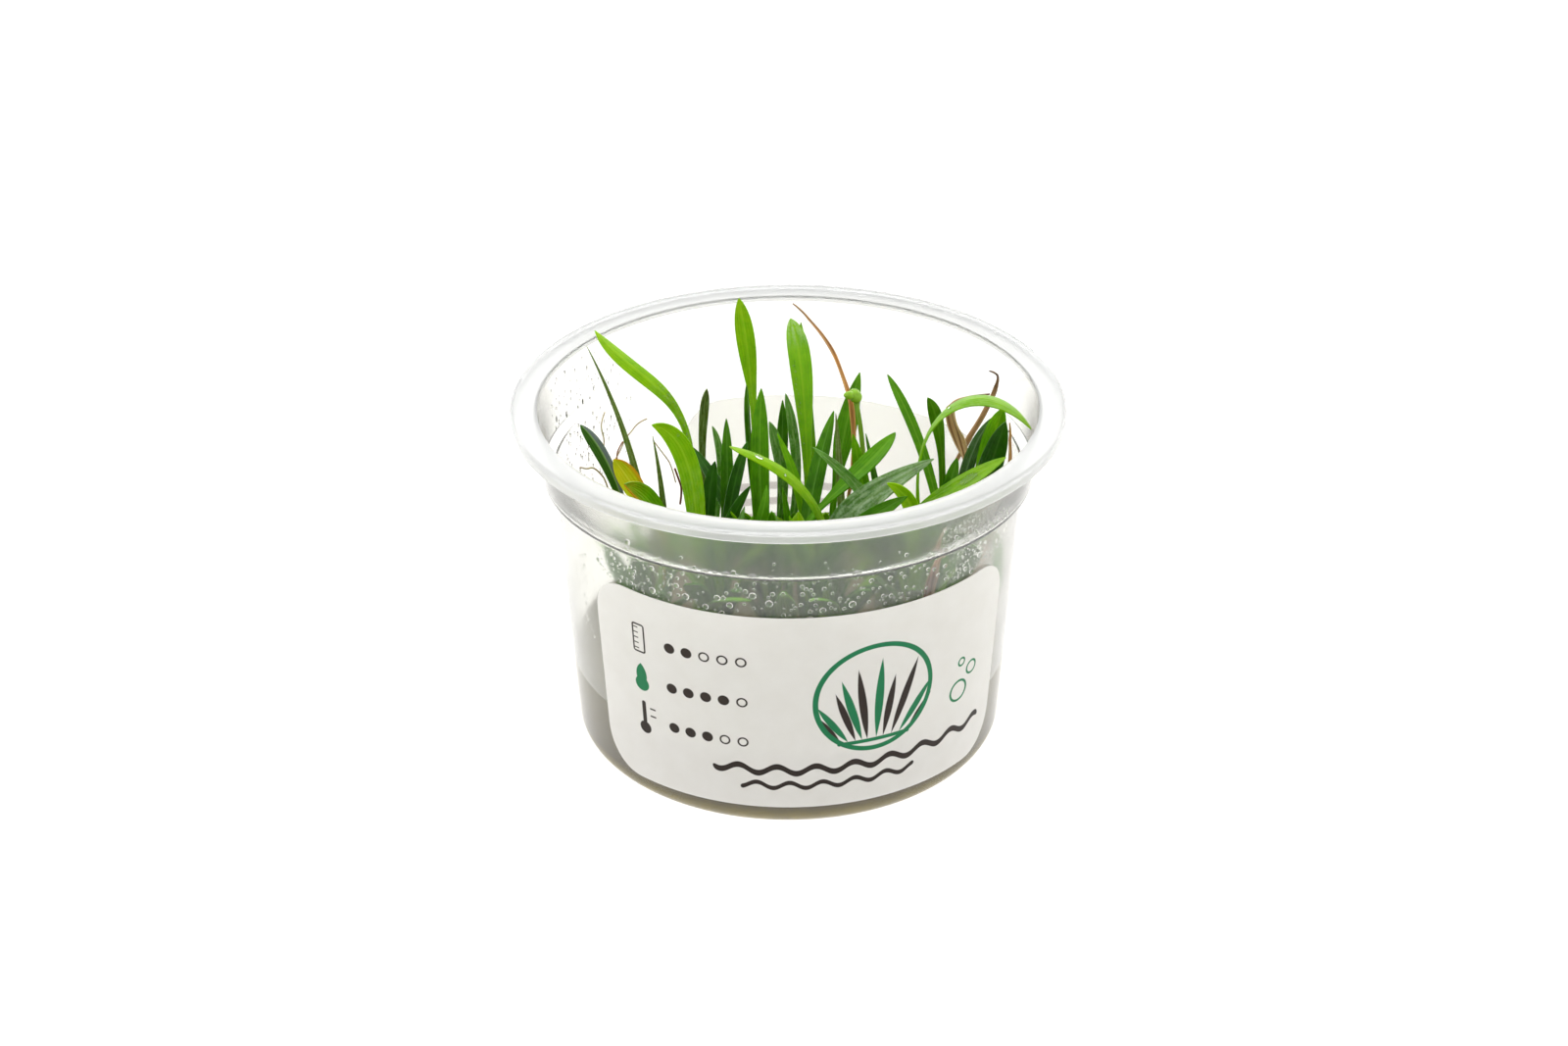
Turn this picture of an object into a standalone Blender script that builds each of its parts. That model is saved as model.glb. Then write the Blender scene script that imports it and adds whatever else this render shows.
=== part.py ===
"""Helanthium tenellum grown in gel in a lidless tissue culture cup.

Metres, +Z up. The origin is the centre of the cup's underside, +X is the
right of the front label and -Y its front.
"""
import math

import bmesh
import bpy
from mathutils import Vector

MM = 0.001
COLLECTION = "helanthium_tenellum_cup"

# Driving dimensions of the cup, in millimetres
RIM_RADIUS = 50.5
RIM_Z = 66.5
LIP_DROP = 1.9
BAND_TOP_RADIUS = 46.1
BAND_FOOT_RADIUS = 45.3
STEP_Z = 53.9
WALL_TOP_RADIUS = 43.3
WALL_FOOT_RADIUS = 40.1
CORNER_RADIUS = 3.6
WALL = 0.6
FLOOR = 0.8
CUP_SIDES = 44

# Culture gel
GEL_TOP = 14.0
MENISCUS_RISE = 2.6
GAP = 0.3
POCKET_DEPTH = 2.4

# Paper labels wrapped round the tapered wall
LABEL_WIDTH = 84.0
LABEL_FOOT_Z = 4.9
LABEL_HEIGHT = 41.0
LABEL_CORNER = 8.0
LABEL_THICKNESS = 0.15
LABEL_FRONT_BEARING = -85.0
LABEL_BACK_BEARING = 61.0
LABEL_CORNER_COLUMNS = 4
LABEL_MIDDLE_COLUMNS = 16

# Crowns, the swollen bases that the leaves grow from
CROWN_FOOT_Z = GEL_TOP - POCKET_DEPTH + GAP
SHOULDER_Z = 17.6
NECK_TOP_Z = 22.0
NECK_RADIUS = 1.2
CROWN_SIDES = 8
LEAF_FOOT_Z = SHOULDER_Z + 0.6
INNER_FOOT_Z = 20.4
INNER_RING = 0.5
FOOT_SPACING = 2.3
PETIOLE_WIDTH = 1.5

LEAF_THICKNESS = 0.4
LEAF_FOLD = 0.10
LEAF_STEPS = 7
YOUNG_STEPS = 6
TIP_WIDTH_SHARE = 0.12
TWIST_SHARE = 0.6
TIP_CROWDING = 1.4

# Leaf forms: petiole width, start of the blade, widest place, tip sharpness
FORMS = {
    "blade": (PETIOLE_WIDTH, 0.40, 0.80, 2.2),
    "strap": (PETIOLE_WIDTH, 0.10, 0.72, 2.2),
    "spoon": (1.3, 0.60, 0.86, 2.2),
    "lance": (PETIOLE_WIDTH, 0.10, 0.62, 1.5),
    "dart": (1.3, 0.50, 0.78, 1.3),
    "grass": (PETIOLE_WIDTH, 0.0, 0.20, 1.3),
    "dry": (0.9, 0.10, 0.50, 1.6),
    "wisp": (0.6, 0.40, 0.68, 1.0),
}

# Crown centres on the gel, in millimetres
CROWNS = {
    "a": (-25.0, -8.0),
    "b": (-16.0, 12.0),
    "c": (-13.0, -10.0),
    "d": (-4.0, 21.0),
    "e": (-3.0, -5.0),
    "f": (8.0, 13.0),
    "g": (6.0, -15.0),
    "h": (19.0, 2.0),
    "i": (25.0, -8.0),
    "j": (31.0, 9.0),
}

# Grown leaves: crown, bearing of the foot, points between foot and tip, tip,
# width, turn and form. Turn is the bearing of the blade's width in plan.
# Bearings are in degrees from +X.
LEAVES = {
    "leaf_01": (
        "b", 190, [(-18.5, 14.5, 49.5), (-25.0, 14.0, 62.5)], (-36.5, 25.0, 68.5), 3.2, 30, "blade",
    ),
    "leaf_02": ("a", 130, [(-27.5, 5.5, 43.5)], (-38.0, 23.5, 66.0), 1.6, 0, "grass"),
    "leaf_03": ("a", 190, [(-30.5, 0.5, 43.5)], (-38.5, 6.5, 58.0), 3.0, 50, "blade"),
    "leaf_04": ("a", 0, [(-24.0, -3.5, 38.0)], (-32.0, -0.5, 54.5), 4.2, 30, "spoon"),
    "leaf_05": ("a", 290, [(-22.5, -9.5, 43.0)], (-29.0, -19.5, 59.5), 4.0, 60, "strap"),
    "leaf_06": ("a", 70, [(-23.0, 1.0, 36.5)], (-25.0, 4.0, 57.0), 1.7, 0, "grass"),
    "leaf_07": (
        "c", 200, [(-16.5, -7.0, 35.5), (-18.0, -1.5, 52.0)], (-25.0, 1.5, 60.5), 4.1, 0, "strap",
    ),
    "leaf_08": ("b", 20, [(-16.5, 22.0, 38.5)], (-15.5, 25.5, 56.0), 1.8, 20, "spoon"),
    "leaf_09": ("c", 80, [(-11.5, -0.5, 38.0)], (-11.5, 9.0, 58.0), 2.3, 10, "strap"),
    "leaf_10": (
        "d", 150, [(-6.0, 28.0, 35.0), (-7.0, 35.0, 50.5)], (-9.5, 43.0, 67.0), 3.6, 0, "spoon",
    ),
    "leaf_11": ("e", 70, [(-5.0, 3.0, 39.0)], (-5.0, 15.5, 61.0), 3.5, 0, "strap"),
    "leaf_12": ("d", 240, [(-1.0, 18.0, 35.5)], (-3.5, 17.5, 53.0), 2.6, 30, "blade"),
    "leaf_13": ("e", 0, [(3.5, -3.0, 37.5)], (-2.0, 5.0, 57.0), 1.9, 20, "strap"),
    "leaf_14": ("d", 330, [(-1.5, 21.0, 36.0)], (-1.0, 24.5, 54.0), 2.5, 30, "dart"),
    "leaf_15": ("d", 60, [(1.5, 23.5, 34.5)], (-0.5, 31.5, 52.0), 2.0, 20, "blade"),
    "leaf_16": (
        "f", 200, [(4.0, 17.5, 36.0), (3.0, 27.5, 53.5)], (0.5, 40.0, 64.0), 4.3, 5, "blade",
    ),
    "leaf_17": ("f", 68, [(9.0, 21.0, 36.0)], (14.0, 34.5, 55.0), 4.2, -20, "dart"),
    "leaf_18": ("g", 160, [(3.0, -7.5, 39.5)], (8.5, 8.0, 60.0), 3.2, -15, "strap"),
    "leaf_19": ("g", 20, [(10.0, -3.5, 32.0)], (9.0, 16.0, 55.5), 1.4, 0, "strap"),
    "leaf_20": (
        "g", 220, [(0.5, -12.0, 39.5), (7.5, -4.0, 48.0)], (20.0, 9.0, 55.0), 4.0, -40, "spoon",
    ),
    "leaf_21": ("h", 170, [(15.5, 4.0, 36.0)], (12.0, 7.5, 55.5), 2.7, 10, "strap"),
    "leaf_22": ("h", 50, [(18.0, 6.5, 36.0)], (14.5, 10.5, 54.0), 1.6, 40, "lance"),
    "leaf_23": ("h", 290, [(18.5, -2.0, 39.5)], (4.5, -6.5, 60.0), 2.1, 30, "strap"),
    "leaf_24": (
        "g", 90, [(7.5, -8.0, 40.0), (1.0, -14.0, 57.0)], (-10.5, -10.0, 62.0), 2.4, 60, "blade",
    ),
    "leaf_25": (
        "g", 330, [(9.0, -14.0, 35.5), (9.5, -14.5, 48.0)], (26.0, -13.0, 61.0), 5.2, -25, "strap",
    ),
    "leaf_26": (
        "i", 0, [(29.0, -0.5, 35.0), (25.5, 11.5, 49.0)], (19.0, 25.5, 59.0), 2.1, 15, "blade",
    ),
    "leaf_27": (
        "i", 80, [(25.0, -5.0, 38.0), (24.0, -4.0, 56.5), (31.5, -2.5, 67.0)],
        (44.0, -4.5, 62.5), 4.2, 80, "blade",
    ),
    "leaf_28": ("j", 140, [(29.5, 20.5, 42.5)], (26.5, 21.5, 56.0), 2.6, 10, "dart"),
    "leaf_29": ("j", 80, [(33.0, 13.0, 41.0)], (38.0, 11.0, 57.0), 2.5, -20, "lance"),
    "leaf_30": ("j", 340, [(35.5, 9.0, 40.0)], (40.0, 9.0, 60.0), 4.2, -30, "blade"),
    "leaf_31": ("j", 250, [(35.0, 5.5, 39.5)], (40.0, 3.5, 60.0), 4.5, -10, "strap"),
    "leaf_32": (
        "i", 180, [(21.0, -6.0, 38.0), (23.5, -10.0, 48.5)], (39.0, -11.5, 60.5), 3.6, -50, "spoon",
    ),
    "leaf_33": ("e", 200, [(-7.5, -1.0, 35.5)], (-18.0, 13.0, 50.0), 2.6, -10, "strap"),
    "leaf_34": ("c", 0, [(-11.5, -2.5, 39.0)], (-7.5, 3.5, 56.0), 2.4, 10, "strap"),
    "leaf_35": ("e", 280, [(-0.5, -18.0, 30.0)], (-1.0, -41.5, 50.5), 3.8, 0, "strap"),
    "dry_leaf_1": (
        "f", 20, [(11.0, 14.5, 35.0), (12.5, 18.5, 49.0), (9.5, 29.5, 59.5)],
        (1.0, 42.5, 66.0), 1.4, 20, "wisp",
    ),
    "dry_leaf_2": (
        "j", 30, [(36.0, 13.0, 33.5), (33.0, 15.5, 48.0), (30.5, 14.0, 57.5)],
        (37.5, 11.0, 62.0), 2.1, 30, "dry",
    ),
    "dry_leaf_3": (
        "j", 200, [(29.5, 15.5, 38.5), (37.5, 19.5, 54.5)], (37.5, 12.5, 66.0), 1.0, 20, "dry",
    ),
    "dry_leaf_4": ("j", 290, [(39.5, 5.0, 39.0)], (41.0, 6.0, 58.5), 1.2, 10, "dry"),
    "dry_leaf_5": ("i", 270, [(25.0, -24.0, 39.5)], (27.0, -34.0, 58.5), 1.8, 30, "dry"),
}

# Young inner leaves, fused to their crown's neck, in the same terms
INNER_LEAVES = [
    ("b", 70, [(-14.5, 16.5, 30.0), (-13.0, 20.0, 40.0)], (-14.5, 21.5, 50.0), 1.6, 40, "blade"),
    ("d", 130, [(-7.0, 25.0, 37.5)], (-8.0, 29.0, 55.0), 1.5, 50, "blade"),
    ("f", 180, [(4.5, 30.0, 41.0)], (2.5, 41.5, 62.5), 2.4, 30, "strap"),
    ("g", 250, [(6.5, -19.5, 42.0)], (21.0, -21.5, 58.0), 3.6, -30, "strap"),
    ("i", 190, [(23.5, -9.0, 33.0), (27.0, -9.0, 46.5)], (30.5, -7.0, 58.0), 2.6, 10, "blade"),
    ("e", 60, [(-8.5, -3.5, 31.0), (-6.5, -7.0, 41.5)], (-4.0, -2.5, 50.0), 1.9, 10, "strap"),
    ("e", 20, [(0.0, -4.0, 35.0)], (-1.0, -2.5, 49.5), 1.3, 20, "strap"),
    ("c", 310, [(-12.0, -10.5, 33.0)], (-8.0, -5.0, 47.0), 1.8, 10, "strap"),
    ("c", 100, [(-15.0, -2.5, 38.5)], (-13.5, 1.5, 53.0), 2.6, 10, "strap"),
    ("c", 70, [(-13.0, -8.0, 37.0)], (-7.0, -4.5, 51.0), 2.6, 30, "strap"),
    ("a", 230, [(-29.0, -12.5, 33.5)], (-33.0, -17.0, 46.0), 3.0, 40, "strap"),
    ("a", 350, [(-26.0, -16.0, 35.5)], (-27.0, -26.0, 49.0), 3.2, 20, "strap"),
    ("c", 240, [(-15.0, -19.5, 35.5)], (-18.0, -33.0, 47.0), 3.2, 30, "strap"),
    ("c", 290, [(-10.5, -17.0, 34.5)], (-9.0, -29.0, 43.0), 3.0, 0, "strap"),
    ("c", 260, [(-14.0, -21.5, 35.5)], (-6.5, -37.0, 46.0), 3.2, 10, "strap"),
    ("g", 280, [(8.0, -26.0, 37.0)], (3.5, -41.0, 48.5), 3.2, 0, "strap"),
    ("g", 120, [(10.5, -22.5, 34.5)], (14.0, -35.0, 47.0), 3.2, -15, "strap"),
    ("g", 130, [(9.5, -18.0, 32.0)], (16.0, -25.0, 42.0), 3.0, -20, "strap"),
    ("i", 320, [(32.0, -13.5, 38.5)], (33.0, -21.5, 48.0), 3.2, -40, "strap"),
    ("i", 260, [(23.0, -17.0, 34.0)], (22.0, -30.0, 44.0), 3.0, -10, "strap"),
    ("i", 240, [(23.0, -15.5, 38.0), (22.5, -18.0, 51.5)], (17.5, -18.5, 59.0), 2.8, 10, "strap"),
    ("i", 320, [(35.5, -13.0, 29.0)], (38.5, -6.0, 43.0), 2.2, 20, "strap"),
]

# Flower stalk with its closed bud
STALK_CROWN = "f"
STALK_BEARING = 290.0
STALK_WAY = [(14.0, 13.0, 36.5)]
STALK_TIP = (13.0, 20.5, 55.5)
STALK_RADIUS = 0.5
STALK_STEPS = 6
BUD_RADIUS = 1.55
BUD_STEPS = 6

# Colours as linear RGB, with roughness
CUP_LOOK = ((0.90, 0.90, 0.91), 0.30)
GEL_LOOK = ((0.45, 0.41, 0.28), 0.25)
PAPER_LOOK = ((0.82, 0.79, 0.76), 0.60)
BRIGHT_LOOK = ((0.30, 0.48, 0.06), 0.45)
MID_LOOK = ((0.16, 0.32, 0.06), 0.45)
DARK_LOOK = ((0.07, 0.14, 0.05), 0.45)
CROWN_LOOK = ((0.36, 0.44, 0.16), 0.50)
DRY_LOOK = ((0.55, 0.30, 0.12), 0.70)
BUD_LOOK = ((0.45, 0.55, 0.18), 0.45)

# Which leaves are the brightest and the darkest in tone
BRIGHT_LEAVES = (1, 4, 5, 7, 10, 16, 17, 21, 24, 27, 30, 32)
DARK_LEAVES = (2, 3, 6, 8, 9, 12, 13, 14, 18, 19, 22, 31, 33, 34)


def clear_scene():
    """Remove whatever the open file holds."""
    for old in list(bpy.data.objects):
        bpy.data.objects.remove(old, do_unlink=True)


def new_collection(name):
    """Make a collection in the scene and return it."""
    collection = bpy.data.collections.new(name)
    bpy.context.scene.collection.children.link(collection)
    return collection


def new_material(name, look):
    """Make a Principled material from a colour and a roughness."""
    colour, roughness = look
    material = bpy.data.materials.new(name)
    material.use_nodes = True
    shader = material.node_tree.nodes["Principled BSDF"]
    shader.inputs["Base Color"].default_value = (*colour, 1.0)
    shader.inputs["Roughness"].default_value = roughness
    shader.inputs["Metallic"].default_value = 0.0
    return material


def add_object(name, data, collection, look=None):
    """Link a mesh or curve as a named object with a material of its own."""
    obj = bpy.data.objects.new(name, data)
    collection.objects.link(obj)
    if look is not None:
        data.materials.append(new_material(name, look))
    return obj


def smooth(mesh):
    """Shade a mesh smooth, with its hard edges kept sharp."""
    mesh.shade_smooth()
    mesh.set_sharp_from_angle(angle=math.radians(40.0))


def turned(name, profile, sides, collection, look):
    """Turn a profile of (radius, height) in millimetres round the Z axis."""
    bm = bmesh.new()
    corners = [bm.verts.new((r * MM, 0.0, z * MM)) for r, z in profile]
    for first, second in zip(corners, corners[1:]):
        bm.edges.new((first, second))
    mesh = bpy.data.meshes.new(name)
    bm.to_mesh(mesh)
    bm.free()
    obj = add_object(name, mesh, collection, look)
    screw = obj.modifiers.new("turn", "SCREW")
    screw.axis = "Z"
    screw.steps = sides
    screw.render_steps = sides
    screw.use_merge_vertices = True
    screw.merge_threshold = 0.00001
    screw.use_smooth_shade = True
    return obj


def wall_radius(z, inset=0.0):
    """Outer radius of the tapered wall at a height, less an inset."""
    share = (z - CORNER_RADIUS) / (STEP_Z - CORNER_RADIUS)
    share = min(max(share, 0.0), 1.0)
    return WALL_FOOT_RADIUS + (WALL_TOP_RADIUS - WALL_FOOT_RADIUS) * share - inset


def corner_arc(outer, foot_z, radius, steps):
    """Points of the rounded foot corner, from the wall down to the floor."""
    points = []
    for step in range(steps + 1):
        angle = math.radians(90.0 * step / steps)
        r = outer - radius + radius * math.cos(angle)
        z = foot_z + radius - radius * math.sin(angle)
        points.append((r, z))
    return points


def build_cup(collection):
    """Thin cup: flat floor, tapered wall, stacking step, band and flange."""
    inner_corner = corner_arc(WALL_FOOT_RADIUS - WALL, FLOOR, CORNER_RADIUS - WALL, 2)
    inside = [(0.0, FLOOR)]
    inside += reversed(inner_corner)
    inside += [
        (WALL_TOP_RADIUS - WALL, STEP_Z - 0.1),
        (BAND_FOOT_RADIUS - WALL - 0.5, STEP_Z + WALL),
        (BAND_FOOT_RADIUS - WALL, STEP_Z + WALL + 0.5),
        (BAND_TOP_RADIUS - WALL, RIM_Z),
    ]
    flange = [
        (RIM_RADIUS - 0.5, RIM_Z + 0.3),
        (RIM_RADIUS, RIM_Z - 0.2),
        (RIM_RADIUS, RIM_Z - LIP_DROP + 0.2),
        (RIM_RADIUS - 0.3, RIM_Z - LIP_DROP),
        (RIM_RADIUS - WALL, RIM_Z - LIP_DROP + 0.2),
        (RIM_RADIUS - WALL, RIM_Z - WALL),
    ]
    outside = [
        (BAND_TOP_RADIUS, RIM_Z - WALL - 0.3),
        (BAND_FOOT_RADIUS, STEP_Z + 0.6),
        (BAND_FOOT_RADIUS - 0.3, STEP_Z + 0.1),
        (WALL_TOP_RADIUS + 0.2, STEP_Z - 0.2),
        (WALL_TOP_RADIUS, STEP_Z - 0.6),
    ]
    outside += corner_arc(WALL_FOOT_RADIUS, 0.0, CORNER_RADIUS, 3)
    outside += [(0.0, 0.0)]
    return turned("cup", inside + flange + outside, CUP_SIDES, collection, CUP_LOOK)


def build_gel(collection, cutters):
    """Gel that fills the cup's foot, with a raised edge and crown pockets."""
    edge_z = GEL_TOP + MENISCUS_RISE
    edge_r = wall_radius(edge_z, WALL + GAP)
    profile = [
        (0.0, GEL_TOP),
        (edge_r - 5.0, GEL_TOP),
        (edge_r - 2.4, GEL_TOP + 0.4),
        (edge_r - 0.9, GEL_TOP + 1.4),
        (edge_r, edge_z),
    ]
    profile += corner_arc(WALL_FOOT_RADIUS - WALL - GAP, FLOOR + GAP, CORNER_RADIUS - WALL, 2)
    profile += [(0.0, FLOOR + GAP)]
    gel = turned("gel", profile, CUP_SIDES, collection, GEL_LOOK)
    bm = bmesh.new()
    for crown, (x, y) in CROWNS.items():
        made = bmesh.ops.create_cone(
            bm, cap_ends=True, segments=CROWN_SIDES,
            radius1=crown_radius(crown) * MM, radius2=(crown_radius(crown) + 0.8) * MM,
            depth=2.0 * POCKET_DEPTH * MM,
        )
        bmesh.ops.translate(bm, verts=made["verts"], vec=(x * MM, y * MM, GEL_TOP * MM))
    mesh = bpy.data.meshes.new("crown_pockets")
    bm.to_mesh(mesh)
    bm.free()
    cutter = add_object("crown_pockets", mesh, cutters)
    cutter.hide_render = True
    cutter.display_type = "WIRE"
    pockets = gel.modifiers.new("pockets", "BOOLEAN")
    pockets.operation = "DIFFERENCE"
    pockets.object = cutter
    return gel


def label_columns():
    """Distances of a label's columns from its middle, closer at the corners."""
    straight = LABEL_WIDTH / 2.0 - LABEL_CORNER
    right = []
    for step in range(1, LABEL_CORNER_COLUMNS + 1):
        angle = math.radians(90.0 * step / LABEL_CORNER_COLUMNS)
        right.append(straight + LABEL_CORNER * math.sin(angle))
    middle = [straight * (2.0 * i / LABEL_MIDDLE_COLUMNS - 1.0) for i in range(LABEL_MIDDLE_COLUMNS + 1)]
    return [-x for x in reversed(right)] + middle + right


def build_label(name, bearing, collection):
    """Paper rectangle with round corners, wrapped on the tapered wall."""
    columns = label_columns()
    straight = LABEL_WIDTH / 2.0 - LABEL_CORNER
    middle_z = LABEL_FOOT_Z + LABEL_HEIGHT / 2.0
    middle_r = wall_radius(middle_z)
    bm = bmesh.new()
    bmesh.ops.create_grid(bm, x_segments=len(columns) - 1, y_segments=1, size=1.0)
    for vert in bm.verts:
        along = columns[round((vert.co.x + 1.0) / 2.0 * (len(columns) - 1))]
        past = max(abs(along) - straight, 0.0)
        half = LABEL_HEIGHT / 2.0 - LABEL_CORNER + math.sqrt(max(LABEL_CORNER**2 - past**2, 0.0))
        z = middle_z + half * vert.co.y
        angle = math.radians(bearing) + along / middle_r
        r = wall_radius(z) + GAP
        vert.co = Vector((r * math.cos(angle), r * math.sin(angle), z)) * MM
    mesh = bpy.data.meshes.new(name)
    bm.to_mesh(mesh)
    bm.free()
    smooth(mesh)
    label = add_object(name, mesh, collection, PAPER_LOOK)
    sheet = label.modifiers.new("sheet", "SOLIDIFY")
    sheet.thickness = LABEL_THICKNESS * MM
    sheet.offset = 1.0
    return label


def line_through(points, share):
    """Point at a share of the smooth line that passes through all points."""
    last = len(points) - 1
    total = Vector((0.0, 0.0, 0.0))
    for i, point in enumerate(points):
        weight = 1.0
        for j in range(last + 1):
            if j != i:
                weight *= (share * last - j) / (i - j)
        total += weight * Vector(point)
    return total


def ease(share):
    """Smooth step from 0 to 1."""
    share = min(max(share, 0.0), 1.0)
    return share * share * (3.0 - 2.0 * share)


def leaf_width(width, form, share):
    """Width of a leaf at a share of its length, in millimetres."""
    petiole, start, widest, sharpness = FORMS[form]
    petiole = min(petiole, width)
    if share < widest:
        return petiole + (width - petiole) * ease((share - start) / (widest - start))
    past = (share - widest) / (1.0 - widest)
    return width * max(1.0 - past**sharpness, TIP_WIDTH_SHARE)


def crown_ring(crown):
    """Radius of the ring on which a crown's grown leaves stand."""
    count = sum(1 for leaf in LEAVES.values() if leaf[0] == crown)
    count += 1 if crown == STALK_CROWN else 0
    return max(count * FOOT_SPACING / (2.0 * math.pi) + 0.3, 2.0)


def crown_radius(crown):
    """Outer radius of a crown."""
    return crown_ring(crown) + 0.6


def foot_on(crown, ring, bearing, z):
    """Point at a bearing on a ring round a crown's centre."""
    x, y = CROWNS[crown]
    angle = math.radians(bearing)
    return x + ring * math.cos(angle), y + ring * math.sin(angle), z


def leaf_mesh(name, foot, leaf, columns, steps):
    """Flat leaf blade, from a grid laid along its line and turned to face."""
    _, bearing, way, tip, width, turn, form = leaf
    points = [foot, *way, tip]
    start = bearing + 90.0
    swing = (turn - start + 90.0) % 180.0 - 90.0
    bm = bmesh.new()
    bmesh.ops.create_grid(bm, x_segments=columns, y_segments=steps, size=1.0)
    for vert in bm.verts:
        share = 1.0 - ((1.0 - vert.co.y) / 2.0) ** TIP_CROWDING
        side = vert.co.x
        middle = line_through(points, share)
        ahead = line_through(points, share + 0.01) - line_through(points, share - 0.01)
        ahead.normalize()
        angle = math.radians(start + swing * ease(share / TWIST_SHARE))
        across = Vector((math.cos(angle), math.sin(angle), 0.0))
        across = (across - across.dot(ahead) * ahead).normalized()
        face = across.cross(ahead)
        half = leaf_width(width, form, share) / 2.0
        fold = 2.0 * half * LEAF_FOLD * (abs(side) - 0.5) if columns > 1 else 0.0
        vert.co = (middle + side * half * across + fold * face) * MM
    mesh = bpy.data.meshes.new(name)
    bm.to_mesh(mesh)
    bm.free()
    smooth(mesh)
    return mesh


def leaf_look(name):
    """Colour of a grown leaf, by its name."""
    if name.startswith("dry"):
        return DRY_LOOK
    number = int(name[-2:])
    if number in BRIGHT_LEAVES:
        return BRIGHT_LOOK
    return DARK_LOOK if number in DARK_LEAVES else MID_LOOK


def build_leaf(name, leaf, collection):
    """One grown leaf as a thin closed blade."""
    foot = foot_on(leaf[0], crown_ring(leaf[0]), leaf[1], LEAF_FOOT_Z)
    columns = 1 if leaf[6] == "dry" or leaf[4] < 2.0 else 2
    mesh = leaf_mesh(name, foot, leaf, columns, LEAF_STEPS)
    obj = add_object(name, mesh, collection, leaf_look(name))
    blade = obj.modifiers.new("blade", "SOLIDIFY")
    blade.thickness = LEAF_THICKNESS * MM
    blade.offset = 0.0
    return obj


def build_crown(crown, collection, cutters):
    """Swollen leaf base with a neck, and its young inner leaves fused on."""
    name = "crown_" + crown
    radius = crown_radius(crown)
    profile = [
        (0.0, NECK_TOP_Z),
        (NECK_RADIUS * 0.7, NECK_TOP_Z - 0.3),
        (NECK_RADIUS, NECK_TOP_Z - 1.2),
        (NECK_RADIUS, SHOULDER_Z + 0.5),
        (NECK_RADIUS + 0.4, SHOULDER_Z),
        (radius - 0.3, SHOULDER_Z - 0.1),
        (radius, SHOULDER_Z - 0.8),
        (radius, GEL_TOP + 0.4),
        (radius - 0.6, CROWN_FOOT_Z),
        (0.0, CROWN_FOOT_Z),
    ]
    obj = turned(name, profile, CROWN_SIDES, collection, CROWN_LOOK)
    x, y = CROWNS[crown]
    obj.location = Vector((x, y, 0.0)) * MM
    inner = [leaf for leaf in INNER_LEAVES if leaf[0] == crown]
    for number, leaf in enumerate(inner, start=1):
        foot = foot_on(crown, INNER_RING, leaf[1], INNER_FOOT_Z)
        young = leaf_mesh(name + "_young", foot, leaf, 1, YOUNG_STEPS)
        cutter = add_object(name + "_young_" + str(number), young, cutters)
        cutter.hide_render = True
        cutter.display_type = "WIRE"
        blade = cutter.modifiers.new("blade", "SOLIDIFY")
        blade.thickness = LEAF_THICKNESS * MM
        blade.offset = 0.0
        join = obj.modifiers.new("young " + str(number), "BOOLEAN")
        join.operation = "UNION"
        join.object = cutter
    return obj


def build_stalk(collection):
    """Upright stalk that swells into a round closed bud."""
    foot = foot_on(STALK_CROWN, crown_ring(STALK_CROWN), STALK_BEARING, LEAF_FOOT_Z)
    points = [foot, *STALK_WAY, STALK_TIP]
    stations = []
    for step in range(STALK_STEPS + 1):
        share = step / STALK_STEPS
        stations.append((line_through(points, share), 1.0))
    tip = Vector(STALK_TIP)
    upward = (line_through(points, 1.0) - line_through(points, 0.98)).normalized()
    for step in range(1, BUD_STEPS + 1):
        angle = math.pi * (0.12 + 0.86 * step / BUD_STEPS)
        rise = BUD_RADIUS * (1.0 - math.cos(angle))
        girth = max(BUD_RADIUS * math.sin(angle), 0.15) / STALK_RADIUS
        stations.append((tip + upward * rise, girth))
    curve = bpy.data.curves.new("flower_stalk", "CURVE")
    curve.dimensions = "3D"
    curve.bevel_depth = STALK_RADIUS * MM
    curve.bevel_resolution = 2
    curve.resolution_u = 1
    curve.render_resolution_u = 0
    curve.use_fill_caps = True
    spline = curve.splines.new("POLY")
    spline.points.add(len(stations) - 1)
    for point, (place, girth) in zip(spline.points, stations):
        point.co = (*(place * MM), 1.0)
        point.radius = girth
    return add_object("flower_stalk", curve, collection, BUD_LOOK)


def main():
    """Build every piece of the planted cup."""
    clear_scene()
    collection = new_collection(COLLECTION)
    cutters = new_collection("cutters")
    build_cup(collection)
    build_gel(collection, cutters)
    build_label("label_front", LABEL_FRONT_BEARING, collection)
    build_label("label_back", LABEL_BACK_BEARING, collection)
    for crown in CROWNS:
        build_crown(crown, collection, cutters)
    for name, leaf in LEAVES.items():
        build_leaf(name, leaf, collection)
    build_stalk(collection)


main()
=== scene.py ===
"""Dresses the frame of a lidless tissue culture cup of Helanthium tenellum.

Metres, +Z up. The origin is the centre of the cup's underside, +X is the
right of the front label and -Y its front. Sizes in the classes are in
millimetres, and bearings in degrees from +X.
"""
from __future__ import annotations

import functools
import logging
import math
import random
from dataclasses import dataclass
from enum import Enum
from typing import Iterable, Sequence

import bpy
from mathutils import Matrix, Vector


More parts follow.
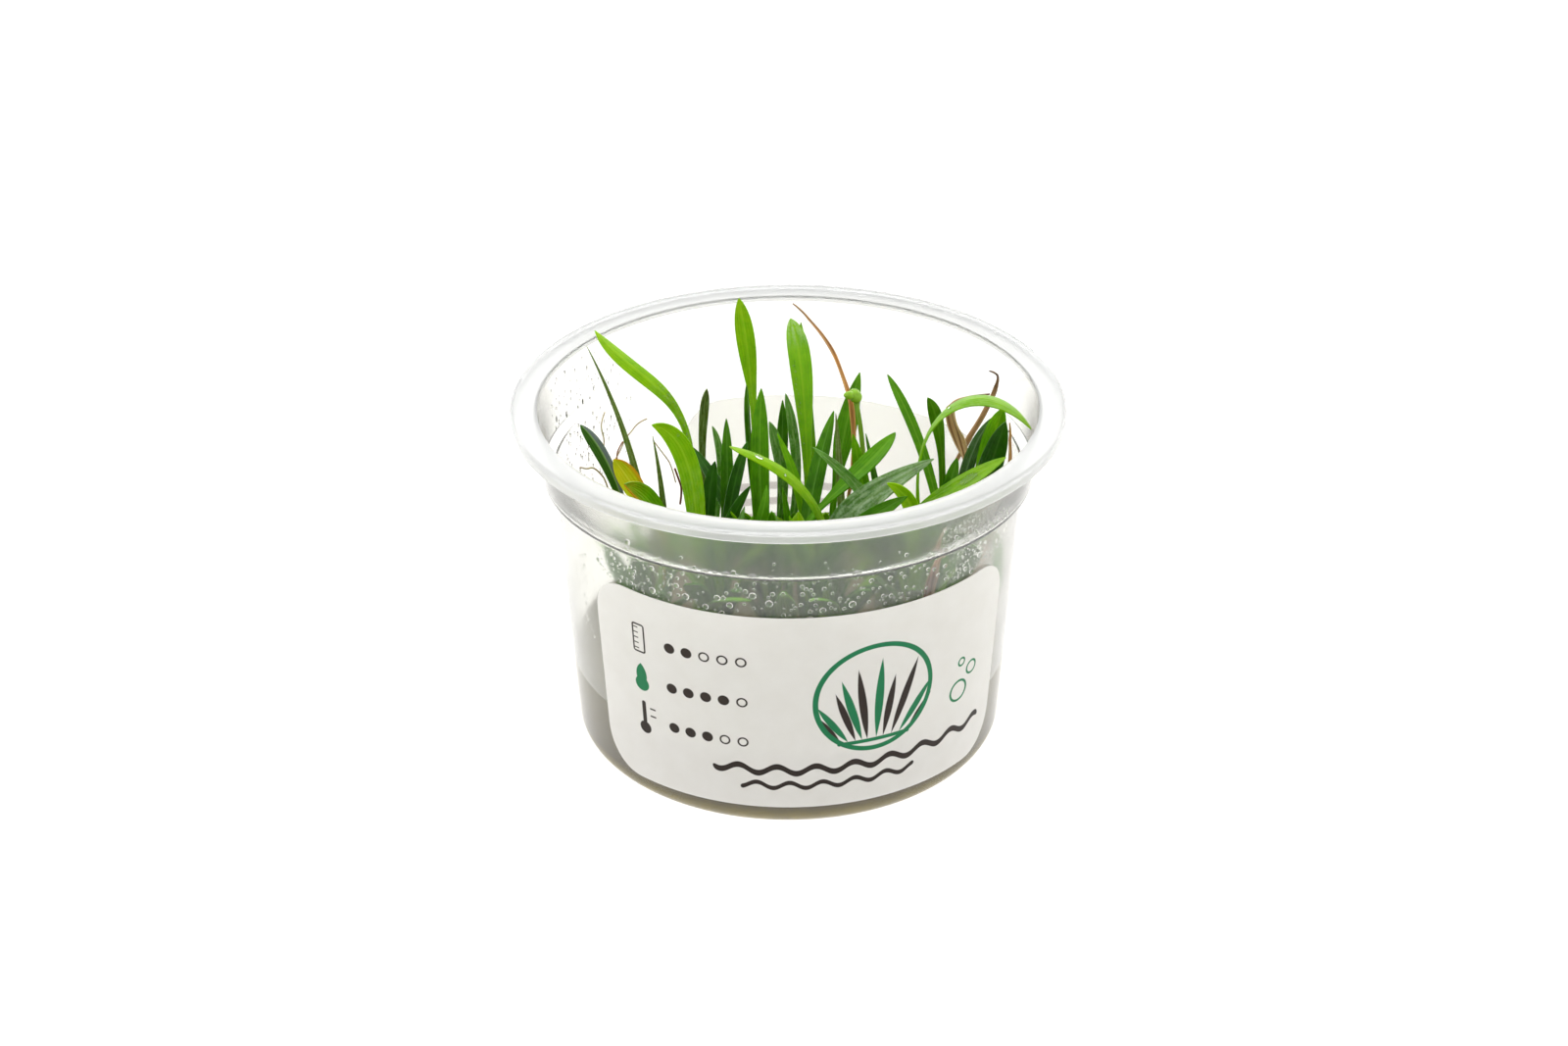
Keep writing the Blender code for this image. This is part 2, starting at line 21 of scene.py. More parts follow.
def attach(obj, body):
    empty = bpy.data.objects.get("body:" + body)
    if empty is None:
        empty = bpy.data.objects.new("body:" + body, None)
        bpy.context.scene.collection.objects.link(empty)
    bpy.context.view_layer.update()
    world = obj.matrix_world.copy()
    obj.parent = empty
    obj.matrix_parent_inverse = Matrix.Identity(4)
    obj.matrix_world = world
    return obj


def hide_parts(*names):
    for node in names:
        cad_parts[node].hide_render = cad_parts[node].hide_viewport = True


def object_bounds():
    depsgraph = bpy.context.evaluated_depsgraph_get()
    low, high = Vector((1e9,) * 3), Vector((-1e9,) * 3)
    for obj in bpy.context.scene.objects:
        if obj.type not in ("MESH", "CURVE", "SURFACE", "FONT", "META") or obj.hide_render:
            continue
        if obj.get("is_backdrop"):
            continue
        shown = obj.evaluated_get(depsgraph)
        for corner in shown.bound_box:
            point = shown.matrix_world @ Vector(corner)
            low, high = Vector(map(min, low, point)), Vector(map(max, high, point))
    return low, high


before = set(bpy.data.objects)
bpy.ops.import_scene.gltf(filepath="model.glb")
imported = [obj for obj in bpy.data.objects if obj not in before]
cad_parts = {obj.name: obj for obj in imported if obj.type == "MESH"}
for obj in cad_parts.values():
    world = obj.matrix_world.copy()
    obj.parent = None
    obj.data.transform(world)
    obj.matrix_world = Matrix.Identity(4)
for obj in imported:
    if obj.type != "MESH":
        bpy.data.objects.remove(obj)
CAD_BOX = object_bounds()

LOG = logging.getLogger("culture_cup")
MM = 0.001
BODY = "root"

Point = tuple[float, float, float]
Profile = list[tuple[float, float]]
Socket = bpy.types.NodeSocket


def linear(hex_colour: str) -> tuple[float, float, float, float]:
    """Turn an sRGB hex colour into linear RGBA.

    Args:
        hex_colour: Colour such as "#8CBB0E".

    Returns:
        Linear red, green and blue, and an alpha of 1.
    """
    channels = [int(hex_colour[i:i + 2], 16) / 255.0 for i in (1, 3, 5)]
    red, green, blue = (
        c / 12.92 if c <= 0.04045 else ((c + 0.055) / 1.055) ** 2.4 for c in channels
    )
    return red, green, blue, 1.0


def wired(
    tree: bpy.types.NodeTree,
    kind: str,
    inputs: dict,
    output: int | str = 0,
    **settings: object,
) -> Socket:
    """Add a node, feed its inputs and hand back one output.

    Args:
        tree: Node tree of a material or the world.
        kind: Blender's name of the node type, without "ShaderNode".
        inputs: A value or an output socket, by the input's name or number.
        output: Name or number of the output that is wanted.
        settings: Values by property name.

    Returns:
        The output socket.
    """
    node = tree.nodes.new("ShaderNode" + kind)
    for name, setting in settings.items():
        setattr(node, name, setting)
    for key, value in inputs.items():
        if isinstance(value, bpy.types.NodeSocket):
            tree.links.new(value, node.inputs[key])
        else:
            node.inputs[key].default_value = value
    return node.outputs[output]


def maths(tree: bpy.types.NodeTree, operation: str, *values: float | Socket) -> Socket:
    """Work out a number from numbers or sockets."""
    return wired(tree, "Math", dict(enumerate(values)), operation=operation)


def vectors(tree: bpy.types.NodeTree, operation: str, *values: Point | Socket) -> Socket:
    """Work out a vector from vectors or sockets."""
    return wired(tree, "VectorMath", dict(enumerate(values)), operation=operation)


def length_of(tree: bpy.types.NodeTree, vector: Socket) -> Socket:
    """Length of a vector."""
    return wired(tree, "VectorMath", {0: vector}, "Value", operation="LENGTH")


def components(tree: bpy.types.NodeTree, vector: Socket) -> tuple[Socket, Socket, Socket]:
    """Split a vector into its three numbers.

    Args:
        tree: Node tree of the material.
        vector: The vector's socket.

    Returns:
        The sockets of its first, second and third number.
    """
    node = tree.nodes.new("ShaderNodeSeparateXYZ")
    tree.links.new(vector, node.inputs[0])
    return node.outputs[0], node.outputs[1], node.outputs[2]


def object_place(tree: bpy.types.NodeTree) -> Socket:
    """Place on the object, in metres."""
    return wired(tree, "TexCoord", {}, "Object")


def chart_place(tree: bpy.types.NodeTree) -> Socket:
    """Place on the piece's UV map."""
    return wired(tree, "UVMap", {})


def noise(tree: bpy.types.NodeTree, place: Socket, scale: float, detail: float,
          roughness: float = 0.5) -> Socket:
    """Cloudy noise from 0 to 1.

    Args:
        tree: Node tree of the material.
        place: Where the noise is read.
        scale: Clouds in each unit of place.
        detail: Number of finer layers.
        roughness: Strength of each finer layer.

    Returns:
        The noise's socket.
    """
    inputs = {"Vector": place, "Scale": scale, "Detail": detail, "Roughness": roughness}
    return wired(tree, "TexNoise", inputs, "Fac")


def ranged(tree: bpy.types.NodeTree, value: Socket, start: float, end: float,
           low: float = 0.0, high: float = 1.0) -> Socket:
    """Map a value's range to another one, held at both ends.

    Args:
        tree: Node tree of the material.
        value: The value's socket.
        start: Value that gives low.
        end: Value that gives high.
        low: Result at the start.
        high: Result at the end.

    Returns:
        The result's socket.
    """
    inputs = {"Value": value, "From Min": start, "From Max": end, "To Min": low, "To Max": high}
    return wired(tree, "MapRange", inputs)


def colour_ramp(tree: bpy.types.NodeTree, share: Socket, *stops: tuple[float, str]) -> Socket:
    """Choose a colour along a row of colours.

    Args:
        tree: Node tree of the material.
        share: Place on the row, 0 to 1.
        stops: Place and hex colour of each stop.

    Returns:
        The colour's socket.
    """
    node = tree.nodes.new("ShaderNodeValToRGB")
    ramp = node.color_ramp
    while len(ramp.elements) < len(stops):
        ramp.elements.new(0.5)
    for element, (place, colour) in zip(ramp.elements, stops):
        element.position = place
        element.color = linear(colour)
    tree.links.new(share, node.inputs[0])
    return node.outputs[0]


def mixed(tree: bpy.types.NodeTree, factor: Socket, first: str | Socket, second: str | Socket) -> Socket:
    """Mix two colours.

    Args:
        tree: Node tree of the material.
        factor: Share of the second colour.
        first: First colour, a hex string or a socket.
        second: Second colour, a hex string or a socket.

    Returns:
        The mixed colour's socket.
    """
    colours = {
        number: linear(colour) if isinstance(colour, str) else colour
        for number, colour in ((6, first), (7, second))
    }
    return wired(tree, "Mix", {0: factor, **colours}, 2, data_type="RGBA")


def bump(tree: bpy.types.NodeTree, shader: bpy.types.Node, height: Socket, strength: float,
         distance: float) -> None:
    """Roughen a shader's surface.

    Args:
        tree: Node tree of the material.
        shader: Its shader.
        height: The relief's socket.
        strength: Strength of the relief.
        distance: Depth of the relief in metres.
    """
    relief = wired(tree, "Bump", {"Height": height, "Strength": strength, "Distance": distance})
    tree.links.new(relief, shader.inputs["Normal"])


def new_finish(
    name: str, sockets: dict,
) -> tuple[bpy.types.Material, bpy.types.NodeTree, bpy.types.Node]:
    """Make a material with its Principled shader set.

    Args:
        name: Name of the material.
        sockets: Values of the shader's sockets by name.

    Returns:
        The material, its node tree and its shader.
    """
    material = bpy.data.materials.new(name)
    material.use_nodes = True
    tree = material.node_tree
    shader = tree.nodes["Principled BSDF"]
    for key, value in sockets.items():
        shader.inputs[key].default_value = value
    return material, tree, shader


# Finishes


@dataclass(frozen=True)
class MouldedPolypropylene:
    """Injection moulded polypropylene: milky, see-through, no tint of its own, with a painted reflection of
    the leaves along the front of the mouth's edge.
    """

    name: str
    roughness: float
    spread: float
    transmission: float
    tint: str = "#F8F8F5"
    # Colour of the painted reflection of the leaves on the mouth's edge
    painted_leaf_reflection: str = "#CDCB3E"
    ior: float = 1.49

    def material(self, mouth_radius: float, mouth_z: float) -> bpy.types.Material:
        """Make the material.

        Args:
            mouth_radius: Radius of the mouth's inner edge in millimetres.
            mouth_z: Height of the mouth's inner edge in millimetres.

        Returns:
            The material.
        """
        material, tree, shader = new_finish(self.name, {
            "Transmission Weight": self.transmission,
            "IOR": self.ior,
        })
        place = object_place(tree)
        _, back, height = components(tree, place)
        radius = length_of(tree, vectors(tree, "MULTIPLY", place, (1.0, 1.0, 0.0)))
        # Painted reflection: the yellow-green of the leaves is painted on the front of the mouth's edge
        near_edge = ranged(tree, radius, (mouth_radius + 0.55) * MM, (mouth_radius + 0.15) * MM)
        high = ranged(tree, height, (mouth_z - 0.6) * MM, (mouth_z - 0.2) * MM)
        front = ranged(tree, back, -20.0 * MM, -36.0 * MM)
        leaf_reflection_share = maths(tree, "MULTIPLY", maths(tree, "MULTIPLY", near_edge, high), front)
        tree.links.new(mixed(tree, leaf_reflection_share, self.tint, self.painted_leaf_reflection), shader.inputs["Base Color"])
        # Flow marks from the mould, about 8 mm wide, a little clearer and duller
        flow = noise(tree, place, 120.0, 1.0)
        gloss = ranged(tree, flow, 0.35, 0.65, self.roughness - self.spread, self.roughness + self.spread)
        tree.links.new(gloss, shader.inputs["Roughness"])
        return material


@dataclass(frozen=True)
class CultureMedium:
    """Gellan culture gel: cloudy, olive beige, with painted shade in its depth and a painted glow at its
    foot.
    """

    name: str = "culture_medium_gel"
    surface: str = "#A09878"
    # Painted shade of the gel's depth
    depth: str = "#6E5F36"
    # Painted glow where the light table shines up through the gel's bottom corner
    foot: str = "#A8943A"
    transmission: float = 0.18

    def material(self, depth: float) -> bpy.types.Material:
        """Make the material.

        Args:
            depth: Height of the gel's surface in millimetres.

        Returns:
            The material.
        """
        material, tree, shader = new_finish(self.name, {
            "Transmission Weight": self.transmission,
            "Roughness": 0.30,
            "IOR": 1.34,
            "Specular IOR Level": 0.1,
        })
        place = object_place(tree)
        level = ranged(tree, components(tree, place)[2], 0.0, depth * MM)
        # Painted light by height: a painted glow at the foot, painted shade in the depth, the gel's own
        # colour at its surface
        tint = colour_ramp(
            tree, level, (0.07, self.foot), (0.16, self.foot), (0.30, self.depth), (1.0, self.surface),
        )
        # Clouds in the gel, 4 to 8 mm wide
        cloud = noise(tree, place, 180.0, 3.0)
        shade = ranged(tree, cloud, 0.3, 0.7, 0.0, 0.35)
        tree.links.new(mixed(tree, shade, tint, self.depth), shader.inputs["Base Color"])
        bump(tree, shader, cloud, 0.2, 0.0003)
        return material


@dataclass(frozen=True)
class Stroke:
    """Printed mark: a bar with round ends, or a ring where bore is set.

    Place and half size in millimetres from the label's middle, turn in degrees.
    """

    across: float
    up: float
    half_length: float = 0.0
    half_height: float = 0.0
    turn: float = 0.0
    pen: float = 0.4
    bore: float = 0.0
    sway: float = 0.0
    pitch: float = 6.0


def blade_mark(foot: tuple[float, float], length: float, width: float, turn: float) -> Stroke:
    """Lay out a printed leaf, pointed at both ends.

    Args:
        foot: Place of the leaf's lower end.
        length: Length of the leaf.
        width: Its greatest width.
        turn: Its direction in degrees.

    Returns:
        The leaf, as the part that two large discs share.
    """
    disc = (length**2 / 4.0 + width**2 / 4.0) / width
    angle = math.radians(turn)
    across = foot[0] + length / 2.0 * math.cos(angle)
    up = foot[1] + length / 2.0 * math.sin(angle)
    return Stroke(across, up, 0.0, width / 2.0 - disc, turn, disc)


def scale_row(left: float, up: float, filled: int, space: float = 3.3, total: int = 5) -> list[Stroke]:
    """Lay out a row of dots that rates a need of the plant, filled ones first.

    Args:
        left: Place of the first dot.
        up: Height of the row.
        filled: Number of filled dots.
        space: Space from dot to dot.
        total: Number of dots.

    Returns:
        One stroke for each dot.
    """
    dots = []
    for number in range(total):
        across = left + space * number
        if number < filled:
            dots.append(Stroke(across, up, pen=1.05))
        else:
            dots.append(Stroke(across, up, pen=0.17, bore=0.85))
    return dots


@dataclass(frozen=True)
class LabelPaper:
    """Coated label paper: white, smooth, faintly uneven, with printed marks."""

    name: str = "coated_label_paper"
    paper: str = "#E6E3DC"
    cloud: str = "#DEDAD1"
    see_through: float = 0.0
    dark_ink: str = "#2A211C"
    green_ink: str = "#137045"
    dark: tuple[Stroke, ...] = ()
    green: tuple[Stroke, ...] = ()

    def printed(self, tree: bpy.types.NodeTree, place: Socket, strokes: Iterable[Stroke]) -> Socket:
        """Add the nodes that print one ink.

        Args:
            tree: Node tree of the material.
            place: Place on the label in millimetres.
            strokes: Marks in this ink.

        Returns:
            Share of ink, 0 on bare paper and 1 on print.
        """
        nearest = None
        for mark in strokes:
            spot = vectors(tree, "SUBTRACT", place, (mark.across, mark.up, 0.0))
            if mark.turn:
                angle = -math.radians(mark.turn)
                spot = wired(tree, "VectorRotate", {"Vector": spot, "Angle": angle}, rotation_type="Z_AXIS")
            if mark.sway:
                across, up, _ = components(tree, spot)
                crest = maths(tree, "SINE", maths(tree, "MULTIPLY", across, 2.0 * math.pi / mark.pitch))
                shifted = maths(tree, "MULTIPLY_ADD", crest, mark.sway, up)
                spot = wired(tree, "CombineXYZ", {0: across, 1: shifted})
            if mark.half_length or mark.half_height:
                spot = vectors(tree, "ABSOLUTE", spot)
                spot = vectors(tree, "SUBTRACT", spot, (mark.half_length, mark.half_height, 0.0))
                spot = vectors(tree, "MAXIMUM", spot, (0.0, 0.0, 0.0))
            gap = length_of(tree, spot)
            if mark.bore:
                gap = maths(tree, "ABSOLUTE", maths(tree, "SUBTRACT", gap, mark.bore))
            edge = maths(tree, "SUBTRACT", gap, mark.pen)
            nearest = edge if nearest is None else maths(tree, "MINIMUM", nearest, edge)
        return ranged(tree, nearest, 0.06, -0.06)

    def material(self, width: float, height: float) -> bpy.types.Material:
        """Make the material.

        Args:
            width: Width of the label in millimetres.
            height: Height of the label in millimetres.

        Returns:
            The material.
        """
        material, tree, shader = new_finish(self.name, {
            "Roughness": 0.45,
            "Specular IOR Level": 0.15,
            "Subsurface Weight": 0.8,
            "Subsurface Radius": (1.0, 1.0, 1.0),
            "Subsurface Scale": 0.0008,
            "Transmission Weight": self.see_through,
        })
        centred = vectors(tree, "SUBTRACT", chart_place(tree), (0.5, 0.5, 0.0))
        place = vectors(tree, "MULTIPLY", centred, (width, height, 0.0))
        # Fibre clouds of the paper, about 5 mm wide
        tone = ranged(tree, noise(tree, place, 0.2, 4.0), 0.3, 0.7, 0.0, 0.5)
        colour = mixed(tree, tone, self.paper, self.cloud)
        if self.dark:
            colour = mixed(tree, self.printed(tree, place, self.dark), colour, self.dark_ink)
        if self.green:
            colour = mixed(tree, self.printed(tree, place, self.green), colour, self.green_ink)
        tree.links.new(colour, shader.inputs["Base Color"])
        # Small air pockets under the paper, 2 to 4 mm wide
        bump(tree, shader, noise(tree, place, 0.35, 2.0), 0.2, 0.0001)
        return material


@dataclass(frozen=True)
class LeafBlade:
    """Living leaf: thin, translucent, with a midrib, fine veins and a painted sheen."""

    name: str
    foot: str
    blade: str
    tip: str
    vein: str
    shade: str
    edge: str = ""
    # Painted sheen: strength, band along the leaf and colour of the pale streaks that paint the gleam of the
    # wet leaf
    painted_sheen: float = 0.0
    painted_sheen_start: float = 0.0
    painted_sheen_end: float = 1.0
    painted_sheen_colour: str = "#C4DDA0"
    midrib: float = 0.5
    gloss: float = 0.40
    specular: float = 0.08
    vein_count: float = 7.0
    veining: float = 0.22
    half: str = ""
    edge_side: float = 0.0

    @functools.cache
    def material(self) -> bpy.types.Material:
        """Make the material once.

        Returns:
            The material.
        """
        material, tree, shader = new_finish("leaf_blade_" + self.name, {
            "Roughness": self.gloss,
            "Specular IOR Level": self.specular,
            "Subsurface Weight": 0.35,
            "Subsurface Radius": (0.5, 1.0, 0.15),
            "Subsurface Scale": 0.0007,
        })
        chart = chart_place(tree)
        across, along, _ = components(tree, chart)
        place = object_place(tree)
        colour = colour_ramp(
            tree, along, (0.0, self.foot), (0.35, self.blade), (0.8, self.blade), (1.0, self.tip),
        )
        # Cell blotches, 2 to 4 mm wide
        blotch = noise(tree, place, 330.0, 3.0, 0.6)
        colour = mixed(tree, ranged(tree, blotch, 0.38, 0.68, 0.0, 0.75), colour, self.shade)
        if self.half:
            colour = mixed(tree, ranged(tree, across, 0.47, 0.55), colour, self.half)
        # Parallel veins, 0.2 to 0.7 mm apart
        wave = maths(tree, "SINE", maths(tree, "MULTIPLY", across, 2.0 * math.pi * self.vein_count))
        colour = mixed(tree, ranged(tree, wave, 0.2, 1.0, 0.0, self.veining), colour, self.vein)
        off = maths(tree, "SUBTRACT", across, 0.5)
        aside = maths(tree, "ABSOLUTE", off)
        colour = mixed(tree, ranged(tree, aside, 0.09, 0.02, 0.0, self.midrib), colour, self.vein)
        if self.edge:
            reach = maths(tree, "MULTIPLY", off, self.edge_side) if self.edge_side else aside
            colour = mixed(tree, ranged(tree, reach, 0.30, 0.48, 0.0, 0.85), colour, self.edge)
        if self.painted_sheen:
            # Painted sheen: pale streaks between the veins, about 0.6 mm wide, paint the gleam of the wet
            # leaf
            streak = noise(tree, vectors(tree, "MULTIPLY", chart, (6.0, 16.0, 1.0)), 1.0, 3.0)
            speck = noise(tree, place, 2600.0, 1.0)
            sheen_grains = maths(tree, "MULTIPLY_ADD", speck, 0.35, streak)
            sheen_grains = ranged(tree, sheen_grains, 0.58, 0.86, 0.0, self.painted_sheen)
            rise = ranged(tree, along, self.painted_sheen_start - 0.08, self.painted_sheen_start + 0.08)
            fall = ranged(tree, along, self.painted_sheen_end + 0.05, self.painted_sheen_end - 0.05)
            share = maths(tree, "MULTIPLY", maths(tree, "MULTIPLY", rise, fall), sheen_grains)
            colour = mixed(tree, share, colour, self.painted_sheen_colour)
        tree.links.new(colour, shader.inputs["Base Color"])
        bump(tree, shader, maths(tree, "ADD", wave, blotch), 0.25, 0.00008)
        return material


@dataclass(frozen=True)
class WitheredLeaf:
    """Dead leaf: papery, tan to orange, with dark veins and brown ends."""

    name: str
    foot: str
    middle: str
    tip: str
    streak: str
    grain: float = 5.0

    @functools.cache
    def material(self) -> bpy.types.Material:
        """Make the material once.

        Returns:
            The material.
        """
        material, tree, shader = new_finish("withered_leaf_" + self.name, {
            "Roughness": 0.62,
            "Specular IOR Level": 0.25,
            "Subsurface Weight": 0.15,
            "Subsurface Radius": (1.0, 0.6, 0.3),
            "Subsurface Scale": 0.0004,
        })
        across, along, _ = components(tree, chart_place(tree))
        # Patches of decay, about 3 mm long, shift the colours along the leaf
        decay = noise(tree, object_place(tree), 350.0, 4.0)
        shift = ranged(tree, decay, 0.2, 0.8, -0.18, 0.18)
        colour = colour_ramp(
            tree, maths(tree, "ADD", along, shift),
            (0.0, self.foot), (0.4, self.middle), (0.7, self.middle), (0.95, self.tip),
        )
        # Dry veins, 0.2 to 1 mm apart
        turns = maths(tree, "MULTIPLY", across, 2.0 * math.pi * self.grain)
        wave = maths(tree, "SINE", maths(tree, "ADD", turns, shift))
        line = ranged(tree, wave, 0.1, 0.9, 0.0, 0.7)
        tree.links.new(mixed(tree, line, colour, self.streak), shader.inputs["Base Color"])
        bump(tree, shader, wave, 0.6, 0.0001)
        return material


@dataclass(frozen=True)
class PlantTissue:
    """Fleshy plant skin without veins: crowns, bud and stalk."""

    name: str
    low: str
    high: str
    low_z: float
    high_z: float
    gloss: float = 0.38

    @functools.cache
    def material(self) -> bpy.types.Material:
        """Make the material once.

        Returns:
            The material.
        """
        material, tree, shader = new_finish("plant_skin_" + self.name, {
            "Roughness": self.gloss,
            "Specular IOR Level": 0.35,
            "Subsurface Weight": 0.3,
            "Subsurface Radius": (0.6, 1.0, 0.2),
            "Subsurface Scale": 0.0008,
        })
        place = object_place(tree)
        level = ranged(tree, components(tree, place)[2], self.low_z * MM, self.high_z * MM)
        colour = mixed(tree, level, self.low, self.high)
        # Mottling, about 1 mm wide
        mottle = noise(tree, place, 900.0, 3.0)
        dim = ranged(tree, mottle, 0.4, 0.7, 0.0, 0.45)
        tree.links.new(mixed(tree, dim, colour, self.low), shader.inputs["Base Color"])
        bump(tree, shader, mottle, 0.25, 0.0001)
        return material


@dataclass(frozen=True)
class ClearWater:
    """Clean water: clear, smooth, strongly refracting."""

    name: str = "condensed_water"

    @functools.cache
    def material(self) -> bpy.types.Material:
        """Make the material once.

        Returns:
            The material.
        """
        material, tree, shader = new_finish(self.name, {
            "Base Color": linear("#FFFFFF"),
            "Roughness": 0.02,
            "IOR": 1.33,
            "Transmission Weight": 1.0,
        })
        # Dust on the beads, about 0.3 mm from speck to speck
        dust = noise(tree, object_place(tree), 3000.0, 1.0)
        tone = ranged(tree, dust, 0.45, 0.8, 0.0, 0.15)
        tree.links.new(mixed(tree, tone, "#FFFFFF", "#E4EBDD"), shader.inputs["Base Color"])
        return material


@dataclass(frozen=True)
class LightTable:
    """Opal acrylic sheet of a light table, matt and lit from below."""

    name: str = "opal_light_table"
    glow: float = 1.12

    def material(self) -> bpy.types.Material:
        """Make the material.

        Returns:
            The material.
        """
        material, tree, shader = new_finish(self.name, {
            "Roughness": 0.8,
            "Specular IOR Level": 0.1,
            "Emission Color": linear("#FFFEFB"),
            "Emission Strength": self.glow,
        })
        tooth = noise(tree, object_place(tree), 900.0, 2.0)
        tree.links.new(mixed(tree, tooth, "#898886", "#8E8D8B"), shader.inputs["Base Color"])
        return material


# Modelling


def deselect_all() -> None:
    """Leave object mode and deselect every object."""
    if bpy.context.mode != "OBJECT":
        bpy.ops.object.mode_set(mode="OBJECT")
    bpy.ops.object.select_all(action="DESELECT")


def pick(obj: bpy.types.Object) -> None:
    """Select one object alone and make it active.

    Args:
        obj: The object.
    """
    deselect_all()
    obj.select_set(True)
    bpy.context.view_layer.objects.active = obj


def finish_modifiers(obj: bpy.types.Object) -> None:
    """Apply every modifier of an object in order.

    Args:
        obj: The object.
    """
    pick(obj)
    for modifier in list(obj.modifiers):
        bpy.ops.object.modifier_apply(modifier=modifier.name)


def smooth(obj: bpy.types.Object, angle: float = 40.0) -> None:
    """Shade an object smooth, with edges past an angle kept sharp.

    Args:
        obj: The object.
        angle: Angle in degrees.
    """
    pick(obj)
    bpy.ops.object.shade_smooth_by_angle(angle=math.radians(angle))


def spun(name: str, profile: Profile, steps: int) -> bpy.types.Object:
    """Extrude a vertex along a profile and spin it round the Z axis.

    Args:
        name: Name of the piece.
        profile: Radius and height of each point in millimetres, both ends
            on the axis.
        steps: Number of segments round the axis.

    Returns:
        The closed, smooth piece.
    """
    deselect_all()
    bpy.ops.mesh.primitive_plane_add(size=MM)
    obj = bpy.context.active_object
    obj.name = name
    bpy.ops.object.mode_set(mode="EDIT")
    bpy.ops.mesh.merge(type="CENTER")
    radius, height = profile[0]
    bpy.ops.transform.translate(value=(radius * MM, 0.0, height * MM))
    for next_radius, next_height in profile[1:]:
        step = ((next_radius - radius) * MM, 0.0, (next_height - height) * MM)
        bpy.ops.mesh.extrude_region_move(TRANSFORM_OT_translate={"value": step})
        radius, height = next_radius, next_height
    bpy.ops.mesh.select_all(action="SELECT")
    bpy.ops.mesh.spin(steps=steps, angle=2.0 * math.pi, center=(0.0, 0.0, 0.0), axis=(0.0, 0.0, 1.0))
    bpy.ops.mesh.select_all(action="SELECT")
    bpy.ops.mesh.remove_doubles(threshold=0.002 * MM)
    bpy.ops.mesh.normals_make_consistent(inside=False)
    bpy.ops.object.mode_set(mode="OBJECT")
    smooth(obj)
    return obj


def arc(centre: tuple[float, float], radius: float, start: float, end: float, steps: int) -> Profile:
    """Points of an arc in a profile.

    Args:
        centre: Radius and height of the arc's centre.
        radius: Radius of the arc.
        start: First angle in degrees, 0 outward and 90 up.
        end: Last angle in degrees.
        steps: Number of steps.

    Returns:
        The points from start to end.
    """
    points = []
    for step in range(steps + 1):
        angle = math.radians(start + (end - start) * step / steps)
        points.append((centre[0] + radius * math.cos(angle), centre[1] + radius * math.sin(angle)))
    return points


def dress(obj: bpy.types.Object, name: str, slot: str, materials: Sequence[bpy.types.Material],
          *nodes: str) -> bpy.types.Object:
    """Name a finished piece, give it its materials and tie it to the frame.

    Args:
        obj: The finished piece.
        name: Its name.
        slot: The record's material slot; not used.
        materials: Its materials in the order of its slots.
        nodes: The CAD nodes that it stands for.

    Returns:
        The piece.
    """
    obj.name = name
    obj.data.name = name
    obj.data.materials.clear()
    for material in materials:
        obj.data.materials.append(material)
    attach(obj, BODY)
    if nodes:
        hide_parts(*nodes)
    LOG.info("%s: %d faces", name, len(obj.data.polygons))
    return obj


def joined(pieces: Sequence[bpy.types.Object]) -> bpy.types.Object:
    """Join several objects into the first one.

    Args:
        pieces: The objects.

    Returns:
        The first one, with all the rest in it.
    """
    pick(pieces[0])
    for piece in pieces[1:]:
        piece.select_set(True)
    bpy.ops.object.join()
    return pieces[0]


def copies(name: str, pattern: bpy.types.Object, places: Sequence[Matrix]) -> bpy.types.Object:
    """Copy a small shape to many places as one mesh, and remove the pattern.

    Args:
        name: Name of the new object.
        pattern: The shape that repeats.
        places: A matrix for each copy.

    Returns:
        One object with all copies in its mesh.
    """
    corners = [vert.co.copy() for vert in pattern.data.vertices]
    rings = [tuple(face.vertices) for face in pattern.data.polygons]
    points: list[Vector] = []
    faces: list[tuple[int, ...]] = []
    for place in places:
        first = len(points)
        points.extend(place @ corner for corner in corners)
        faces.extend(tuple(first + index for index in ring) for ring in rings)
    mesh = bpy.data.meshes.new(name)
    mesh.from_pydata(points, [], faces)
    mesh.update()
    obj = bpy.data.objects.new(name, mesh)
    bpy.context.scene.collection.objects.link(obj)
    bpy.data.objects.remove(pattern, do_unlink=True)
    return obj


# Cup, gel and labels


class MouldFace(Enum):
    """Finish of the cup by the side of the mould that made it."""

    WALL = MouldedPolypropylene("polished_polypropylene", 0.04, 0.015, transmission=0.97)
    MISTED = MouldedPolypropylene("misted_polypropylene", 0.11, 0.02, transmission=0.97)
    BAND_INSIDE = MouldedPolypropylene("frosted_polypropylene", 0.19, 0.02, transmission=0.97)
    FLANGE = MouldedPolypropylene("satin_polypropylene", 0.20, 0.02, transmission=0.62, tint="#EDEEED")
    STEP = MouldedPolypropylene("step_polypropylene", 0.12, 0.02, transmission=0.95)
    # Where the gel wets the plastic, the step in refraction is small
    WETTED = MouldedPolypropylene("gel_wetted_polypropylene", 0.12, 0.02, transmission=0.97, ior=1.12)


